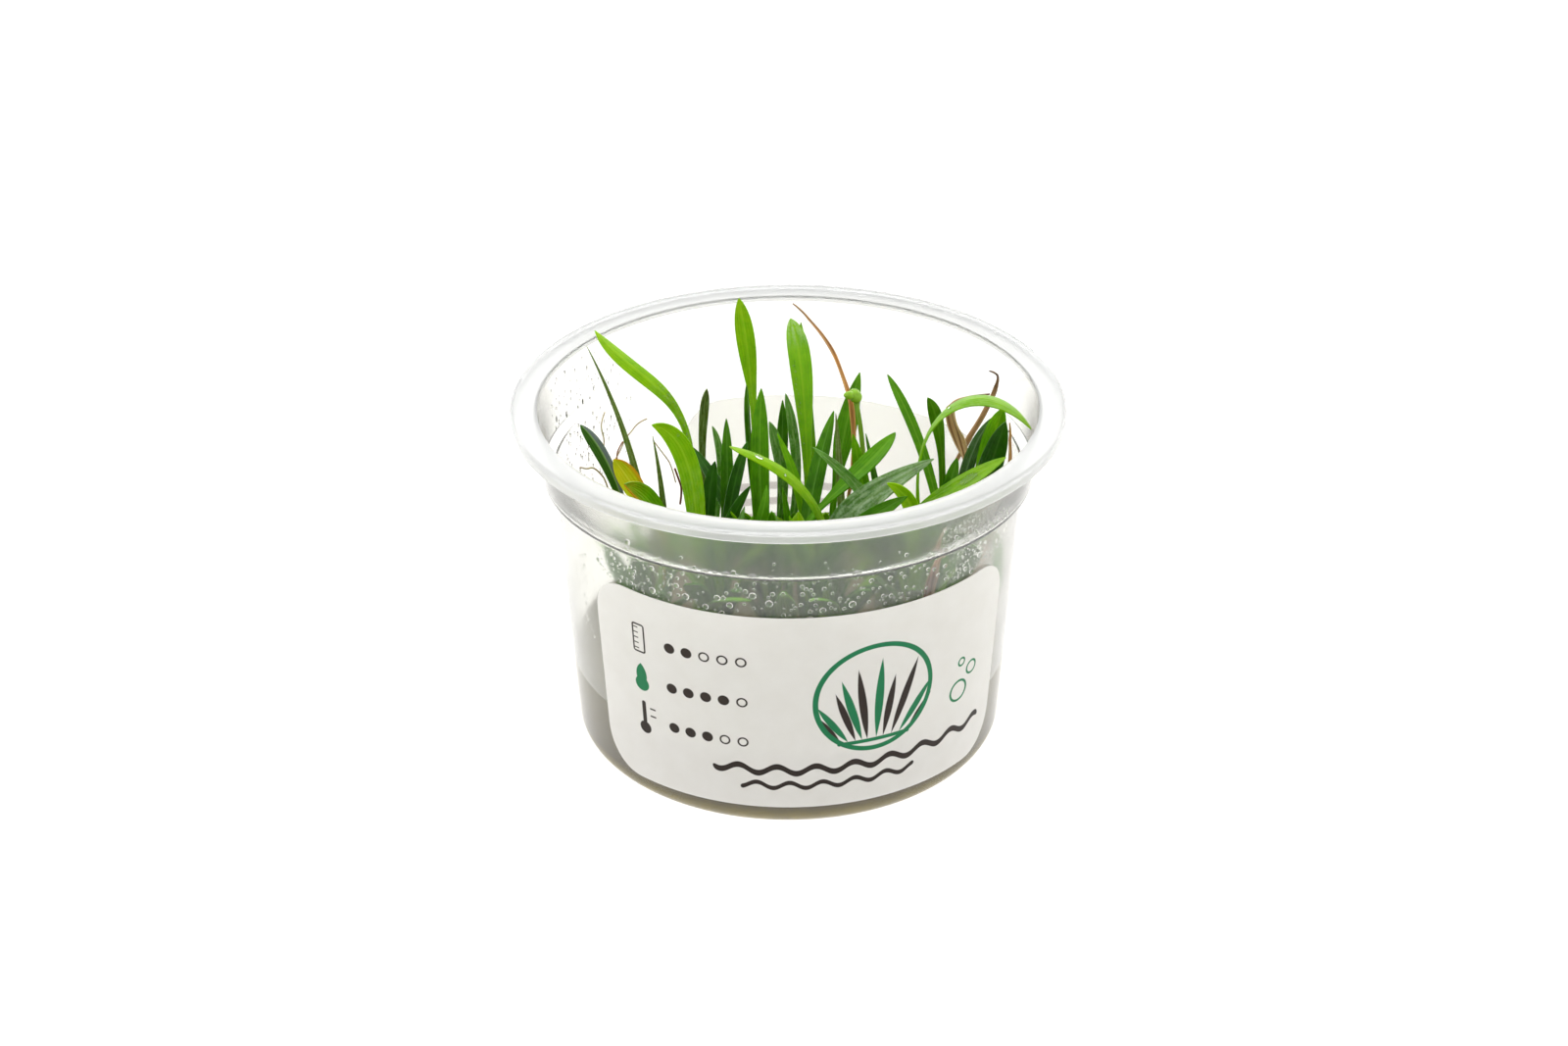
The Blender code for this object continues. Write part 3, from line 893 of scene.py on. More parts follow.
@dataclass
class CultureCup:
    """Thin round cup with a stacking step and a flat, turned down flange."""

    rim_radius: float = 50.5
    rim_z: float = 66.5
    lip_drop: float = 1.9
    band_top_radius: float = 46.1
    band_foot_radius: float = 45.3
    step_z: float = 53.9
    wall_top_radius: float = 43.3
    wall_foot_radius: float = 40.1
    corner_radius: float = 3.6
    wall: float = 0.6
    floor: float = 0.8
    gel_edge_z: float = 16.6
    segments: int = 176

    def wall_radius(self, height: float, inset: float = 0.0) -> float:
        """Outer radius of the tapered wall at a height, less an inset.

        Args:
            height: Height above the cup's foot.
            inset: How far inside the outer face.

        Returns:
            The radius in millimetres.
        """
        share = (height - self.corner_radius) / (self.step_z - self.corner_radius)
        share = min(max(share, 0.0), 1.0)
        return self.wall_foot_radius + (self.wall_top_radius - self.wall_foot_radius) * share - inset

    def inner_radius(self, height: float) -> float:
        """Inner radius of the cup at a height above its floor.

        Args:
            height: Height above the cup's foot.

        Returns:
            The radius in millimetres.
        """
        if height < self.step_z:
            return self.wall_radius(height, self.wall)
        ledge = self.step_z + self.wall
        if height < ledge:
            share = (height - self.step_z) / self.wall
            top = self.band_foot_radius - self.wall - 0.5
            return self.wall_top_radius - self.wall + (top - self.wall_top_radius + self.wall) * share
        share = (height - ledge) / (self.rim_z - ledge)
        return self.band_foot_radius + (self.band_top_radius - self.band_foot_radius) * share - self.wall

    def build(self) -> bpy.types.Object:
        """Spin the cup's profile and give it its plastic.

        Returns:
            The cup.
        """
        bend = self.corner_radius - self.wall
        foot = self.wall_foot_radius
        top = self.rim_z
        inside: Profile = [(0.0, self.floor), (20.0, self.floor)]
        inside += arc((foot - self.wall - bend, self.floor + bend), bend, -90.0, 0.0, 8)
        inside += [(self.wall_radius(z, self.wall), z) for z in (self.gel_edge_z, 30.0, 44.0)]
        inside += [
            (self.wall_top_radius - self.wall, self.step_z - 0.3),
            (self.wall_top_radius - self.wall + 0.1, self.step_z + 0.1),
            (self.wall_top_radius - self.wall + 0.5, self.step_z + 0.45),
            (self.band_foot_radius - self.wall - 0.6, self.step_z + self.wall),
            (self.band_foot_radius - self.wall - 0.2, self.step_z + self.wall + 0.15),
            (self.band_foot_radius - self.wall, self.step_z + self.wall + 0.5),
            (self.band_top_radius - self.wall, top - 0.5),
            (self.band_top_radius - self.wall + 0.1, top - 0.1),
            (self.band_top_radius - self.wall + 0.45, top + 0.05),
        ]
        flange: Profile = [(self.rim_radius - 1.4, top + 0.25)]
        flange += arc((self.rim_radius - 0.7, top - 0.4), 0.7, 90.0, 0.0, 5)
        flange += arc((self.rim_radius - 0.3, top - self.lip_drop + 0.3), 0.3, 0.0, -180.0, 5)
        flange += [
            (self.rim_radius - self.wall, top - self.wall - 0.5),
            (self.rim_radius - self.wall - 0.2, top - self.wall - 0.15),
            (self.rim_radius - self.wall - 0.7, top - self.wall),
        ]
        outside: Profile = [
            (self.band_top_radius + 0.5, top - self.wall - 0.1),
            (self.band_top_radius + 0.1, top - self.wall - 0.3),
            (self.band_top_radius, top - self.wall - 0.8),
            (self.band_foot_radius, self.step_z + 0.6),
            (self.band_foot_radius - 0.1, self.step_z + 0.25),
            (self.band_foot_radius - 0.4, self.step_z + 0.08),
            (self.wall_top_radius + 0.4, self.step_z - 0.15),
            (self.wall_top_radius + 0.1, self.step_z - 0.35),
            (self.wall_top_radius, self.step_z - 0.8),
        ]
        outside += [(self.wall_radius(z), z) for z in (44.0, 30.0, 16.0)]
        outside += arc((foot - self.corner_radius, self.corner_radius), self.corner_radius, 0.0, -90.0, 9)
        outside += [(20.0, 0.0), (0.0, 0.0)]
        cup = spun("cup", inside + flange + outside, self.segments)
        edge = self.band_top_radius - self.wall
        faces = cup.data.polygons
        sides = [list(MouldFace).index(self.mould_face(face.center, face.normal)) for face in faces]
        finishes = [face.value.material(edge, self.rim_z) for face in MouldFace]
        dress(cup, "culture_cup", "cup", finishes, "cup")
        for face, side in zip(faces, sides):
            face.material_index = side
        return cup

    def mould_face(self, centre: Vector, normal: Vector) -> MouldFace:
        """Tell which side of the mould made a face.

        Args:
            centre: Centre of the face in metres.
            normal: Direction of the face.

        Returns:
            The finish of the face.
        """
        outward = Vector((centre.x, centre.y, 0.0))
        reach = outward.length / MM
        height = centre.z / MM
        if height > self.rim_z - self.lip_drop - 0.1 and reach > self.band_top_radius - 0.1:
            return MouldFace.FLANGE
        if height > self.rim_z - 0.3:
            return MouldFace.FLANGE
        inside = normal.dot(outward.normalized()) < -0.2
        if height > self.step_z + 0.3 and inside:
            return MouldFace.BAND_INSIDE
        if self.step_z - 0.4 < height < self.step_z + self.wall + 0.2 and abs(normal.z) > 0.5:
            return MouldFace.STEP
        if inside and height >= self.gel_edge_z:
            return MouldFace.MISTED
        if height < self.gel_edge_z and (inside or 0.5 * self.floor < height < self.floor + 0.1):
            return MouldFace.WETTED
        return MouldFace.WALL


@dataclass
class CultureGel:
    """Culture gel in the cup's foot, with its edge drawn up at the wall."""

    cup: CultureCup
    top: float = 14.0
    rise: float = 2.6
    gap: float = 0.04
    segments: int = 128

    def build(self) -> bpy.types.Object:
        """Spin the gel's profile and give it its finish.

        Returns:
            The gel.
        """
        edge_z = self.top + self.rise
        edge_r = self.cup.wall_radius(edge_z, self.cup.wall + self.gap)
        bend = self.cup.corner_radius - self.cup.wall
        outer = self.cup.wall_foot_radius - self.cup.wall - self.gap
        low = self.cup.floor + self.gap
        profile: Profile = [(0.0, self.top), (12.0, self.top + 0.05), (24.0, self.top - 0.05)]
        for step in range(9):
            share = step / 8.0
            profile.append((edge_r - 6.0 * (1.0 - share), self.top + self.rise * share**2.6))
        profile.append((edge_r, edge_z - 0.4))
        profile += arc((outer - bend, low + bend), bend, 0.0, -90.0, 6)
        profile.append((0.0, low))
        gel = spun("gel", profile, self.segments)
        return dress(gel, "culture_gel", "gel", [CultureMedium().material(self.top)], "gel")


class Print(Enum):
    """What a label carries."""

    FRONT = "front"
    BACK = "back"


@dataclass
class PaperLabel:
    """Paper label with round corners, wrapped on the tapered wall."""

    cup: CultureCup
    name: str
    node: str
    bearing: float
    content: Print
    width: float = 84.0
    foot_z: float = 4.9
    height: float = 41.0
    corner: float = 8.0
    thickness: float = 0.15
    gap: float = 0.3
    column: float = 1.5
    corner_steps: int = 10

    def marks(self) -> tuple[tuple[Stroke, ...], tuple[Stroke, ...]]:
        """Lay out the printed marks.

        Returns:
            The marks in dark ink and the marks in green ink.
        """
        if self.content is Print.BACK:
            return tuple(Stroke(22.0, 1.0 - 3.4 * row, 12.0, 0.0, 0.0, 0.8) for row in range(5)), ()
        dark = [
            # Three needs of the plant down the left: ruler, drop and thermometer
            Stroke(-31.5, 10.8, 0.8, 2.5, 0.0, 0.18, bore=0.4),
            *(Stroke(-32.1, 8.6 + 1.1 * tick, 0.45, 0.0, 0.0, 0.12) for tick in range(5)),
            Stroke(-31.5, -8.6, pen=1.3),
            Stroke(-31.5, -5.4, 0.0, 2.2, 0.0, 0.45),
            Stroke(-29.5, -4.0, 0.5, 0.0, 0.0, 0.17),
            Stroke(-29.5, -5.6, 0.5, 0.0, 0.0, 0.17),
            *scale_row(-25.0, 10.8, 2),
            *scale_row(-25.0, 2.2, 4),
            *scale_row(-25.0, -6.4, 3),
            # Tuft of leaves in the round emblem
            *(
                blade_mark((12.0 + offset, -6.9), length, width, 90.0 - 5.5 * offset)
                for offset, length, width in (
                    (-6.4, 7.5, 1.1), (-3.6, 11.5, 1.3), (-1.4, 15.5, 1.5),
                    (1.6, 13.0, 1.4), (3.2, 16.0, 1.5), (6.6, 8.0, 1.1),
                )
            ),
            # Water lines
            Stroke(10.0, -12.2, 27.0, 0.0, 0.0, 0.65, sway=0.75, pitch=7.0),
            Stroke(4.0, -15.6, 16.0, 0.0, 0.0, 0.5, sway=0.6, pitch=6.0),
        ]
        green = [
            Stroke(12.0, 2.0, pen=0.5, bore=11.0),
            *(
                blade_mark((12.0 + offset, -6.9), length, width, 90.0 - 7.0 * offset)
                for offset, length, width in (
                    (-5.0, 10.0, 1.3), (-2.4, 14.0, 1.5), (0.3, 17.0, 1.6), (4.8, 11.5, 1.4),
                )
            ),
            Stroke(12.0, -7.2, 6.6, 0.0, 0.0, 0.4),
            Stroke(-31.5, 1.0, pen=1.55),
            blade_mark((-31.5, 0.2), 5.2, 2.4, 90.0),
            # Bubbles to the right of the emblem
            Stroke(30.5, -3.5, pen=0.25, bore=2.1),
            Stroke(33.8, 0.2, pen=0.22, bore=1.3),
            Stroke(30.8, 2.6, pen=0.2, bore=0.8),
        ]
        return tuple(dark), tuple(green)

    def build(self) -> bpy.types.Object:
        """Cut the sheet, wrap it on the wall and give it its paper.

        Returns:
            The label.
        """
        deselect_all()
        bpy.ops.mesh.primitive_plane_add(size=1.0)
        sheet = bpy.context.active_object
        bpy.ops.object.mode_set(mode="EDIT")
        bpy.ops.transform.resize(value=(self.width, self.height, 1.0))
        bpy.ops.mesh.bevel(
            offset_type="OFFSET", offset=self.corner, segments=self.corner_steps, affect="VERTICES",
        )
        cuts = round(self.width / self.column)
        for cut in range(1, cuts):
            bpy.ops.mesh.select_all(action="SELECT")
            across = self.width * (cut / cuts - 0.5)
            bpy.ops.mesh.bisect(plane_co=(across, 0.0, 0.0), plane_no=(1.0, 0.0, 0.0))
        bpy.ops.object.mode_set(mode="OBJECT")
        chart = sheet.data.uv_layers.active or sheet.data.uv_layers.new()
        for loop in sheet.data.loops:
            corner = sheet.data.vertices[loop.vertex_index].co
            chart.data[loop.index].uv = (corner.x / self.width + 0.5, corner.y / self.height + 0.5)
        middle_z = self.foot_z + self.height / 2.0
        middle_r = self.cup.wall_radius(middle_z)
        for vert in sheet.data.vertices:
            height = middle_z + vert.co.y
            angle = math.radians(self.bearing) + vert.co.x / middle_r
            radius = self.cup.wall_radius(height) + self.gap
            vert.co = Vector((radius * math.cos(angle), radius * math.sin(angle), height)) * MM
        paper = sheet.modifiers.new("paper", "SOLIDIFY")
        paper.thickness = self.thickness * MM
        paper.offset = 1.0
        finish_modifiers(sheet)
        smooth(sheet)
        dark, green = self.marks()
        finish = LabelPaper(name="coated_label_paper_" + self.content.value, dark=dark, green=green)
        if self.content is Print.BACK:
            # Thin paper against the bright backdrop lets much light through
            finish = LabelPaper(finish.name, "#FDFCFA", "#FAF8F5", 0.93, dark_ink="#C9C4C2", dark=dark)
        return dress(
            sheet, self.name, "label", [finish.material(self.width, self.height)], self.node,
        )


# Plant


class Form(Enum):
    """Leaf form: petiole width, start of the blade, widest place, tip sharpness."""

    BLADE = (1.5, 0.40, 0.80, 2.2)
    STRAP = (1.5, 0.10, 0.72, 2.2)
    SPOON = (1.3, 0.60, 0.86, 2.2)
    LANCE = (1.5, 0.10, 0.62, 1.5)
    DART = (1.3, 0.50, 0.78, 1.3)
    GRASS = (1.5, 0.0, 0.20, 1.3)
    DRY = (0.9, 0.10, 0.50, 1.6)
    WISP = (0.6, 0.40, 0.68, 1.0)


class Tone(Enum):
    """Finish of a leaf, named for what the eye sees: the sunlit, shaded and deep finishes are partly the
    leaves' own greens and partly painted light and shade, and a painted sheen paints the gleam of the wet
    leaf.
    """

    # Painted light: partly the leaf's own yellow-green, partly painted sunlight
    SUNLIT = LeafBlade(
        "sunlit", "#6A9C08", "#88BC00", "#94C008", "#A4CC28", "#6CA800", painted_sheen=0.25, painted_sheen_start=0.15,
        painted_sheen_end=0.7, painted_sheen_colour="#B6D868",
    )
    SUNLIT_FILMED = LeafBlade(
        "sunlit_painted_sheen", "#649808", "#7CB400", "#92C424", "#94C420", "#62A000",
        painted_sheen=0.35, painted_sheen_start=0.55, painted_sheen_colour="#A9CC70", specular=0.15,
    )
    YELLOWED = LeafBlade(
        "yellowed", "#98A808", "#C8CC06", "#D0C410", "#D8D83C", "#B0BC08", edge="#D88A18", edge_side=1.0,
    )
    EDGED = LeafBlade(
        "edged", "#4E8406", "#6CAA04", "#9A9A14", "#88BC20", "#549204", edge="#D8901C", edge_side=-1.0,
    )
    # Painted highlight: a whitish painted sheen near the tip
    GLOSSY = LeafBlade(
        "glossy", "#649808", "#7CB600", "#90C22C", "#94C21C", "#66A400",
        painted_sheen=0.7, painted_sheen_start=0.92, painted_sheen_colour="#CBE0AE", specular=0.15, veining=0.12,
    )
    SPLIT = LeafBlade(
        "split", "#46583E", "#5E6A68", "#6C7474", "#86AC5A", "#4E5E56", half="#2E5C06", midrib=0.7,
        veining=0.12,
    )
    FRESH = LeafBlade("fresh", "#4E8406", "#6AA802", "#7CB80A", "#8CBE20", "#509204")
    LEAF_GREEN = LeafBlade("leaf_green", "#3E7204", "#549202", "#62A012", "#78AE2E", "#3E7802")
    SPECKLED = LeafBlade(
        "speckled", "#3E740A", "#549020", "#6EA642", "#8AB65A", "#3E7608",
        painted_sheen=0.55, painted_sheen_start=0.1, painted_sheen_colour="#A2C07E", specular=0.2,
    )
    # Painted shade: the shaded and deep finishes are partly the leaves' own dark green, partly painted shade
    SHADED = LeafBlade("shaded", "#326208", "#427A08", "#508A10", "#66983A", "#2A5C04", veining=0.1)
    DEEP = LeafBlade(
        "deep", "#245206", "#2C6208", "#38720E", "#4C7E28", "#1C4A02", specular=0.2, veining=0.05,
    )
    BLUISH = LeafBlade(
        "bluish", "#38641C", "#4A742C", "#5C8640", "#8AA67C", "#325A1E", painted_sheen=0.25, painted_sheen_colour="#90A48C",
        specular=0.25, midrib=0.7,
    )
    GREY_FILMED = LeafBlade(
        "grey_painted_sheen", "#4E7A1C", "#54822E", "#7C9E5C", "#93B073", "#3C6A1C",
        painted_sheen=0.85, painted_sheen_start=0.2, painted_sheen_colour="#A9C296", specular=0.25, gloss=0.36,
    )
    OLIVE = LeafBlade("olive", "#6E7C24", "#5A7018", "#5E6C2E", "#869650", "#465E14", painted_sheen=0.2)

    @property
    def material(self) -> bpy.types.Material:
        """The finish's material."""
        return self.value.material()


class Decay(Enum):
    """Finish of a dead leaf."""

    ORANGE = WitheredLeaf("orange", "#C88838", "#F0D098", "#7A4A40", "#7A3A14", grain=2.0)
    BROWN = WitheredLeaf("brown", "#C88A4A", "#D0A672", "#5A3A2C", "#7A4A2C")
    PALE = WitheredLeaf("pale", "#B06A38", "#D9B48A", "#E6DCC0", "#A0522A", grain=2.0)
    TWISTED = WitheredLeaf("twisted", "#6A2818", "#E0A860", "#B08A60", "#8A4420")
    AMBER = WitheredLeaf("amber", "#D89A48", "#F0C888", "#E0A860", "#B86A24")

    @property
    def material(self) -> bpy.types.Material:
        """The finish's material."""
        return self.value.material()


CROWNS: dict[str, tuple[float, float]] = {
    "a": (-25.0, -8.0), "b": (-16.0, 12.0), "c": (-13.0, -10.0), "d": (-4.0, 21.0), "e": (-3.0, -5.0),
    "f": (8.0, 13.0), "g": (6.0, -15.0), "h": (19.0, 2.0), "i": (25.0, -8.0), "j": (31.0, 9.0),
}
STALK_CROWN = "f"
# Numbers of the grown leaves in the record's bright and dark slots
BRIGHT_LEAVES = (1, 4, 5, 7, 10, 16, 17, 21, 24, 27, 30, 32)
DARK_LEAVES = (2, 3, 6, 8, 9, 12, 13, 14, 18, 19, 22, 31, 33, 34)
UNDERLEAF_TONES = (Tone.LEAF_GREEN, Tone.FRESH, Tone.SUNLIT, Tone.SUNLIT, Tone.SUNLIT, Tone.SPECKLED)


@dataclass(frozen=True)
class Growth:
    """How one leaf grows: its crown, the foot's bearing, its line and blade.

    Turn is the bearing of the blade's width in plan.
    """

    crown: str
    bearing: float
    way: tuple[Point, ...]
    tip: Point
    width: float
    turn: float
    form: Form
    finish: Tone | Decay


B, S, P, L = Form.BLADE, Form.STRAP, Form.SPOON, Form.LANCE
T, G, D, W = Form.DART, Form.GRASS, Form.DRY, Form.WISP
# Routes come from programs, a fit to the photograph and a search for free space,
# rounded and partly edited
LEAVES: dict[str, Growth] = {
    "leaf_01": Growth("b", 190, ((-18.5, 14.5, 49.5), (-25.0, 14.0, 62.5)),
                      (-36.5, 25.0, 68.5), 3.2, 30, B, Tone.SUNLIT),
    "leaf_02": Growth("a", 130, ((-27.5, 5.5, 43.5),), (-38.0, 23.5, 66.0), 1.6, 0, G, Tone.OLIVE),
    "leaf_03": Growth("a", 190, ((-30.5, 0.5, 43.5),), (-38.5, 6.5, 58.0), 3.0, 50, B, Tone.SPLIT),
    "leaf_04": Growth("a", 0, ((-24.0, -3.5, 38.0),), (-32.0, -0.5, 54.5), 4.2, 30, P, Tone.YELLOWED),
    "leaf_05": Growth("a", 290, ((-22.5, -9.5, 43.0),), (-29.0, -19.5, 59.5), 4.0, 60, S, Tone.EDGED),
    "leaf_06": Growth("a", 70, ((-23.0, 1.0, 36.5),), (-25.0, 4.0, 57.0), 1.7, 0, G, Tone.OLIVE),
    "leaf_07": Growth("c", 200, ((-16.5, -7.0, 35.5), (-18.0, -1.5, 52.0)),
                      (-25.0, 1.5, 60.5), 4.1, 0, S, Tone.SUNLIT),
    "leaf_08": Growth("b", 20, ((-16.5, 22.0, 38.5),), (-15.5, 25.5, 56.0), 1.8, 20, P, Tone.OLIVE),
    "leaf_09": Growth("c", 80, ((-11.5, -0.5, 38.0),), (-11.5, 9.0, 58.0), 2.3, 10, S, Tone.SHADED),
    "leaf_10": Growth("d", 150, ((-6.0, 28.0, 35.0), (-7.0, 35.0, 50.5)),
                      (-9.5, 43.0, 67.0), 3.6, 0, P, Tone.SUNLIT),
    "leaf_11": Growth("e", 70, ((-5.0, 3.0, 39.0),), (-5.0, 15.5, 61.0), 3.5, 0, S, Tone.LEAF_GREEN),
    "leaf_12": Growth("d", 240, ((-1.0, 18.0, 35.5),), (-3.5, 17.5, 53.0), 2.6, 30, B, Tone.SPECKLED),
    "leaf_13": Growth("e", 0, ((3.5, -3.0, 37.5),), (-2.0, 5.0, 57.0), 1.9, 20, S, Tone.FRESH),
    "leaf_14": Growth("d", 330, ((-1.5, 21.0, 36.0),), (-1.0, 24.5, 54.0), 2.5, 30, T, Tone.SHADED),
    "leaf_15": Growth("d", 60, ((1.5, 23.5, 34.5),), (-0.5, 31.5, 52.0), 2.0, 20, B, Tone.SPECKLED),
    "leaf_16": Growth("f", 200, ((4.0, 17.5, 36.0), (3.0, 27.5, 53.5)),
                      (0.5, 40.0, 64.0), 4.3, 5, B, Tone.GLOSSY),
    "leaf_17": Growth("f", 68, ((9.0, 21.0, 36.0),), (14.0, 34.5, 55.0), 4.2, -20, T, Tone.LEAF_GREEN),
    "leaf_18": Growth("g", 160, ((3.0, -7.5, 39.5),), (8.5, 8.0, 60.0), 3.2, -15, S, Tone.SHADED),
    "leaf_19": Growth("g", 20, ((10.0, -3.5, 32.0),), (9.0, 16.0, 55.5), 1.4, 0, S, Tone.OLIVE),
    "leaf_20": Growth("g", 220, ((0.5, -12.0, 39.5), (7.5, -4.0, 48.0)),
                      (20.0, 9.0, 55.0), 4.0, -40, P, Tone.LEAF_GREEN),
    "leaf_21": Growth("h", 170, ((15.5, 4.0, 36.0),), (12.0, 7.5, 55.5), 2.7, 10, S, Tone.FRESH),
    "leaf_22": Growth("h", 50, ((18.0, 6.5, 36.0),), (14.5, 10.5, 54.0), 1.6, 40, L, Tone.SHADED),
    "leaf_23": Growth("h", 290, ((18.5, -2.0, 39.5),), (4.5, -6.5, 60.0), 2.1, 30, S, Tone.SPECKLED),
    "leaf_24": Growth("g", 90, ((7.5, -8.0, 40.0), (1.0, -14.0, 57.0)),
                      (-10.5, -10.0, 62.0), 2.4, 60, B, Tone.SUNLIT),
    "leaf_25": Growth("g", 330, ((9.0, -14.0, 35.5), (9.5, -14.5, 48.0)),
                      (26.0, -13.0, 61.0), 5.2, -25, S, Tone.GREY_FILMED),
    "leaf_26": Growth("i", 0, ((29.0, -0.5, 35.0), (25.5, 11.5, 49.0)),
                      (19.0, 25.5, 59.0), 2.1, 15, B, Tone.LEAF_GREEN),
    "leaf_27": Growth("i", 80, ((25.0, -5.0, 38.0), (24.0, -4.0, 56.5), (31.5, -2.5, 67.0)),
                      (44.0, -4.5, 62.5), 4.2, 80, B, Tone.SUNLIT_FILMED),
    "leaf_28": Growth("j", 140, ((29.5, 20.5, 42.5),), (26.5, 21.5, 56.0), 2.6, 10, T, Tone.LEAF_GREEN),
    "leaf_29": Growth("j", 80, ((33.0, 13.0, 41.0),), (38.0, 11.0, 57.0), 2.5, -20, L, Tone.BLUISH),
    "leaf_30": Growth("j", 340, ((35.5, 9.0, 40.0),), (40.0, 9.0, 60.0), 4.2, -30, B, Tone.FRESH),
    "leaf_31": Growth("j", 250, ((35.0, 5.5, 39.5),), (40.0, 3.5, 60.0), 4.5, -10, S, Tone.DEEP),
    "leaf_32": Growth("i", 180, ((21.0, -6.0, 38.0), (23.5, -10.0, 48.5)),
                      (39.0, -11.5, 60.5), 3.6, -50, P, Tone.SUNLIT_FILMED),
    "leaf_33": Growth("e", 200, ((-7.5, -1.0, 35.5),), (-18.0, 13.0, 50.0), 2.6, -10, S, Tone.DEEP),
    "leaf_34": Growth("c", 0, ((-11.5, -2.5, 39.0),), (-7.5, 3.5, 56.0), 2.4, 10, S, Tone.DEEP),
    "leaf_35": Growth("e", 280, ((-0.5, -18.0, 30.0),), (-1.0, -41.5, 50.5), 3.8, 0, S, Tone.FRESH),
    "dry_leaf_1": Growth("f", 20, ((11.0, 14.5, 35.0), (12.5, 18.5, 49.0), (9.5, 29.5, 59.5)),
                         (1.0, 42.5, 66.0), 1.1, 20, W, Decay.TWISTED),
    "dry_leaf_2": Growth("j", 30, ((36.0, 13.0, 33.5), (33.0, 15.5, 48.0), (30.5, 14.0, 57.5)),
                         (37.5, 11.0, 62.0), 2.1, 30, D, Decay.ORANGE),
    "dry_leaf_3": Growth("j", 200, ((29.5, 15.5, 38.5), (37.5, 19.5, 54.5)),
                         (37.5, 12.5, 66.0), 1.0, 20, D, Decay.BROWN),
    "dry_leaf_4": Growth("j", 290, ((39.5, 5.0, 39.0),), (41.0, 6.0, 58.5), 1.2, 10, D, Decay.AMBER),
    "dry_leaf_5": Growth("i", 270, ((25.0, -24.0, 39.5),), (27.0, -34.0, 58.5), 1.8, 30, D, Decay.PALE),
}

# These routes come from the same programs, rounded and partly edited
YOUNG_LEAVES: tuple[Growth, ...] = (
    Growth("b", 70, ((-14.5, 16.5, 30.0), (-13.0, 20.0, 40.0)),
           (-14.5, 21.5, 50.0), 1.6, 40, B, Tone.SPECKLED),
    Growth("d", 130, ((-7.0, 25.0, 37.5),), (-8.0, 29.0, 55.0), 1.5, 50, B, Tone.SHADED),
    Growth("f", 180, ((4.5, 30.0, 41.0),), (2.5, 41.5, 62.5), 2.4, 30, S, Tone.FRESH),
    Growth("g", 250, ((6.5, -19.5, 42.0),), (21.0, -21.5, 58.0), 3.6, -30, S, Tone.SHADED),
    Growth("i", 190, ((23.5, -9.0, 33.0), (27.0, -9.0, 46.5)), (30.5, -7.0, 58.0), 2.6, 10, B, Tone.SHADED),
    Growth("e", 60, ((-8.5, -3.5, 31.0), (-6.5, -7.0, 41.5)),
           (-4.0, -2.5, 50.0), 1.9, 10, S, Tone.LEAF_GREEN),
    Growth("e", 20, ((0.0, -4.0, 35.0),), (-1.0, -2.5, 49.5), 1.3, 20, S, Tone.LEAF_GREEN),
    Growth("c", 310, ((-12.0, -10.5, 33.0),), (-8.0, -5.0, 47.0), 1.8, 10, S, Tone.SPECKLED),
    Growth("c", 100, ((-15.0, -2.5, 38.5),), (-13.5, 1.5, 53.0), 2.6, 10, S, Tone.DEEP),
    Growth("c", 70, ((-13.0, -8.0, 37.0),), (-7.0, -4.5, 51.0), 2.6, 30, S, Tone.DEEP),
    Growth("a", 230, ((-29.0, -12.5, 33.5),), (-33.0, -17.0, 46.0), 3.0, 40, S, Tone.LEAF_GREEN),
    Growth("a", 350, ((-26.0, -16.0, 35.5),), (-27.0, -26.0, 49.0), 3.2, 20, S, Tone.LEAF_GREEN),
    Growth("c", 240, ((-15.0, -19.5, 35.5),), (-18.0, -33.0, 47.0), 3.2, 30, S, Tone.LEAF_GREEN),
    Growth("c", 290, ((-10.5, -17.0, 34.5),), (-9.0, -29.0, 43.0), 3.0, 0, S, Tone.SHADED),
    Growth("c", 260, ((-14.0, -21.5, 35.5),), (-6.5, -37.0, 46.0), 3.2, 10, S, Tone.FRESH),
    Growth("g", 280, ((8.0, -26.0, 37.0),), (3.5, -41.0, 48.5), 3.2, 0, S, Tone.FRESH),
    Growth("g", 120, ((10.5, -22.5, 34.5),), (14.0, -35.0, 47.0), 3.2, -15, S, Tone.LEAF_GREEN),
    Growth("g", 130, ((9.5, -18.0, 32.0),), (16.0, -25.0, 42.0), 3.0, -20, S, Tone.SHADED),
    Growth("i", 320, ((32.0, -13.5, 38.5),), (33.0, -21.5, 48.0), 3.2, -40, S, Tone.LEAF_GREEN),
    Growth("i", 260, ((23.0, -17.0, 34.0),), (22.0, -30.0, 44.0), 3.0, -10, S, Tone.SPECKLED),
    Growth("i", 240, ((23.0, -15.5, 38.0), (22.5, -18.0, 51.5)),
           (17.5, -18.5, 59.0), 2.8, 10, S, Tone.SUNLIT),
    Growth("i", 320, ((35.5, -13.0, 29.0),), (38.5, -6.0, 43.0), 2.2, 20, S, Tone.LEAF_GREEN),
)


def ease(share: float) -> float:
    """Smooth step from 0 to 1.

    Args:
        share: Any number.

    Returns:
        The eased share, 0 below 0 and 1 above 1.
    """
    share = min(max(share, 0.0), 1.0)
    return share * share * (3.0 - 2.0 * share)


def line_through(points: Sequence[Point], share: float) -> Vector:
    """Find a point on the smooth line through all points.

    Args:
        points: Points that the line passes, in millimetres.
        share: Share of the way from the first point to the last.

    Returns:
        The point in millimetres.
    """
    last = len(points) - 1
    total = Vector((0.0, 0.0, 0.0))
    for i, point in enumerate(points):
        weight = 1.0
        for j in range(last + 1):
            if j != i:
                weight *= (share * last - j) / (i - j)
        total += weight * Vector(point)
    return total


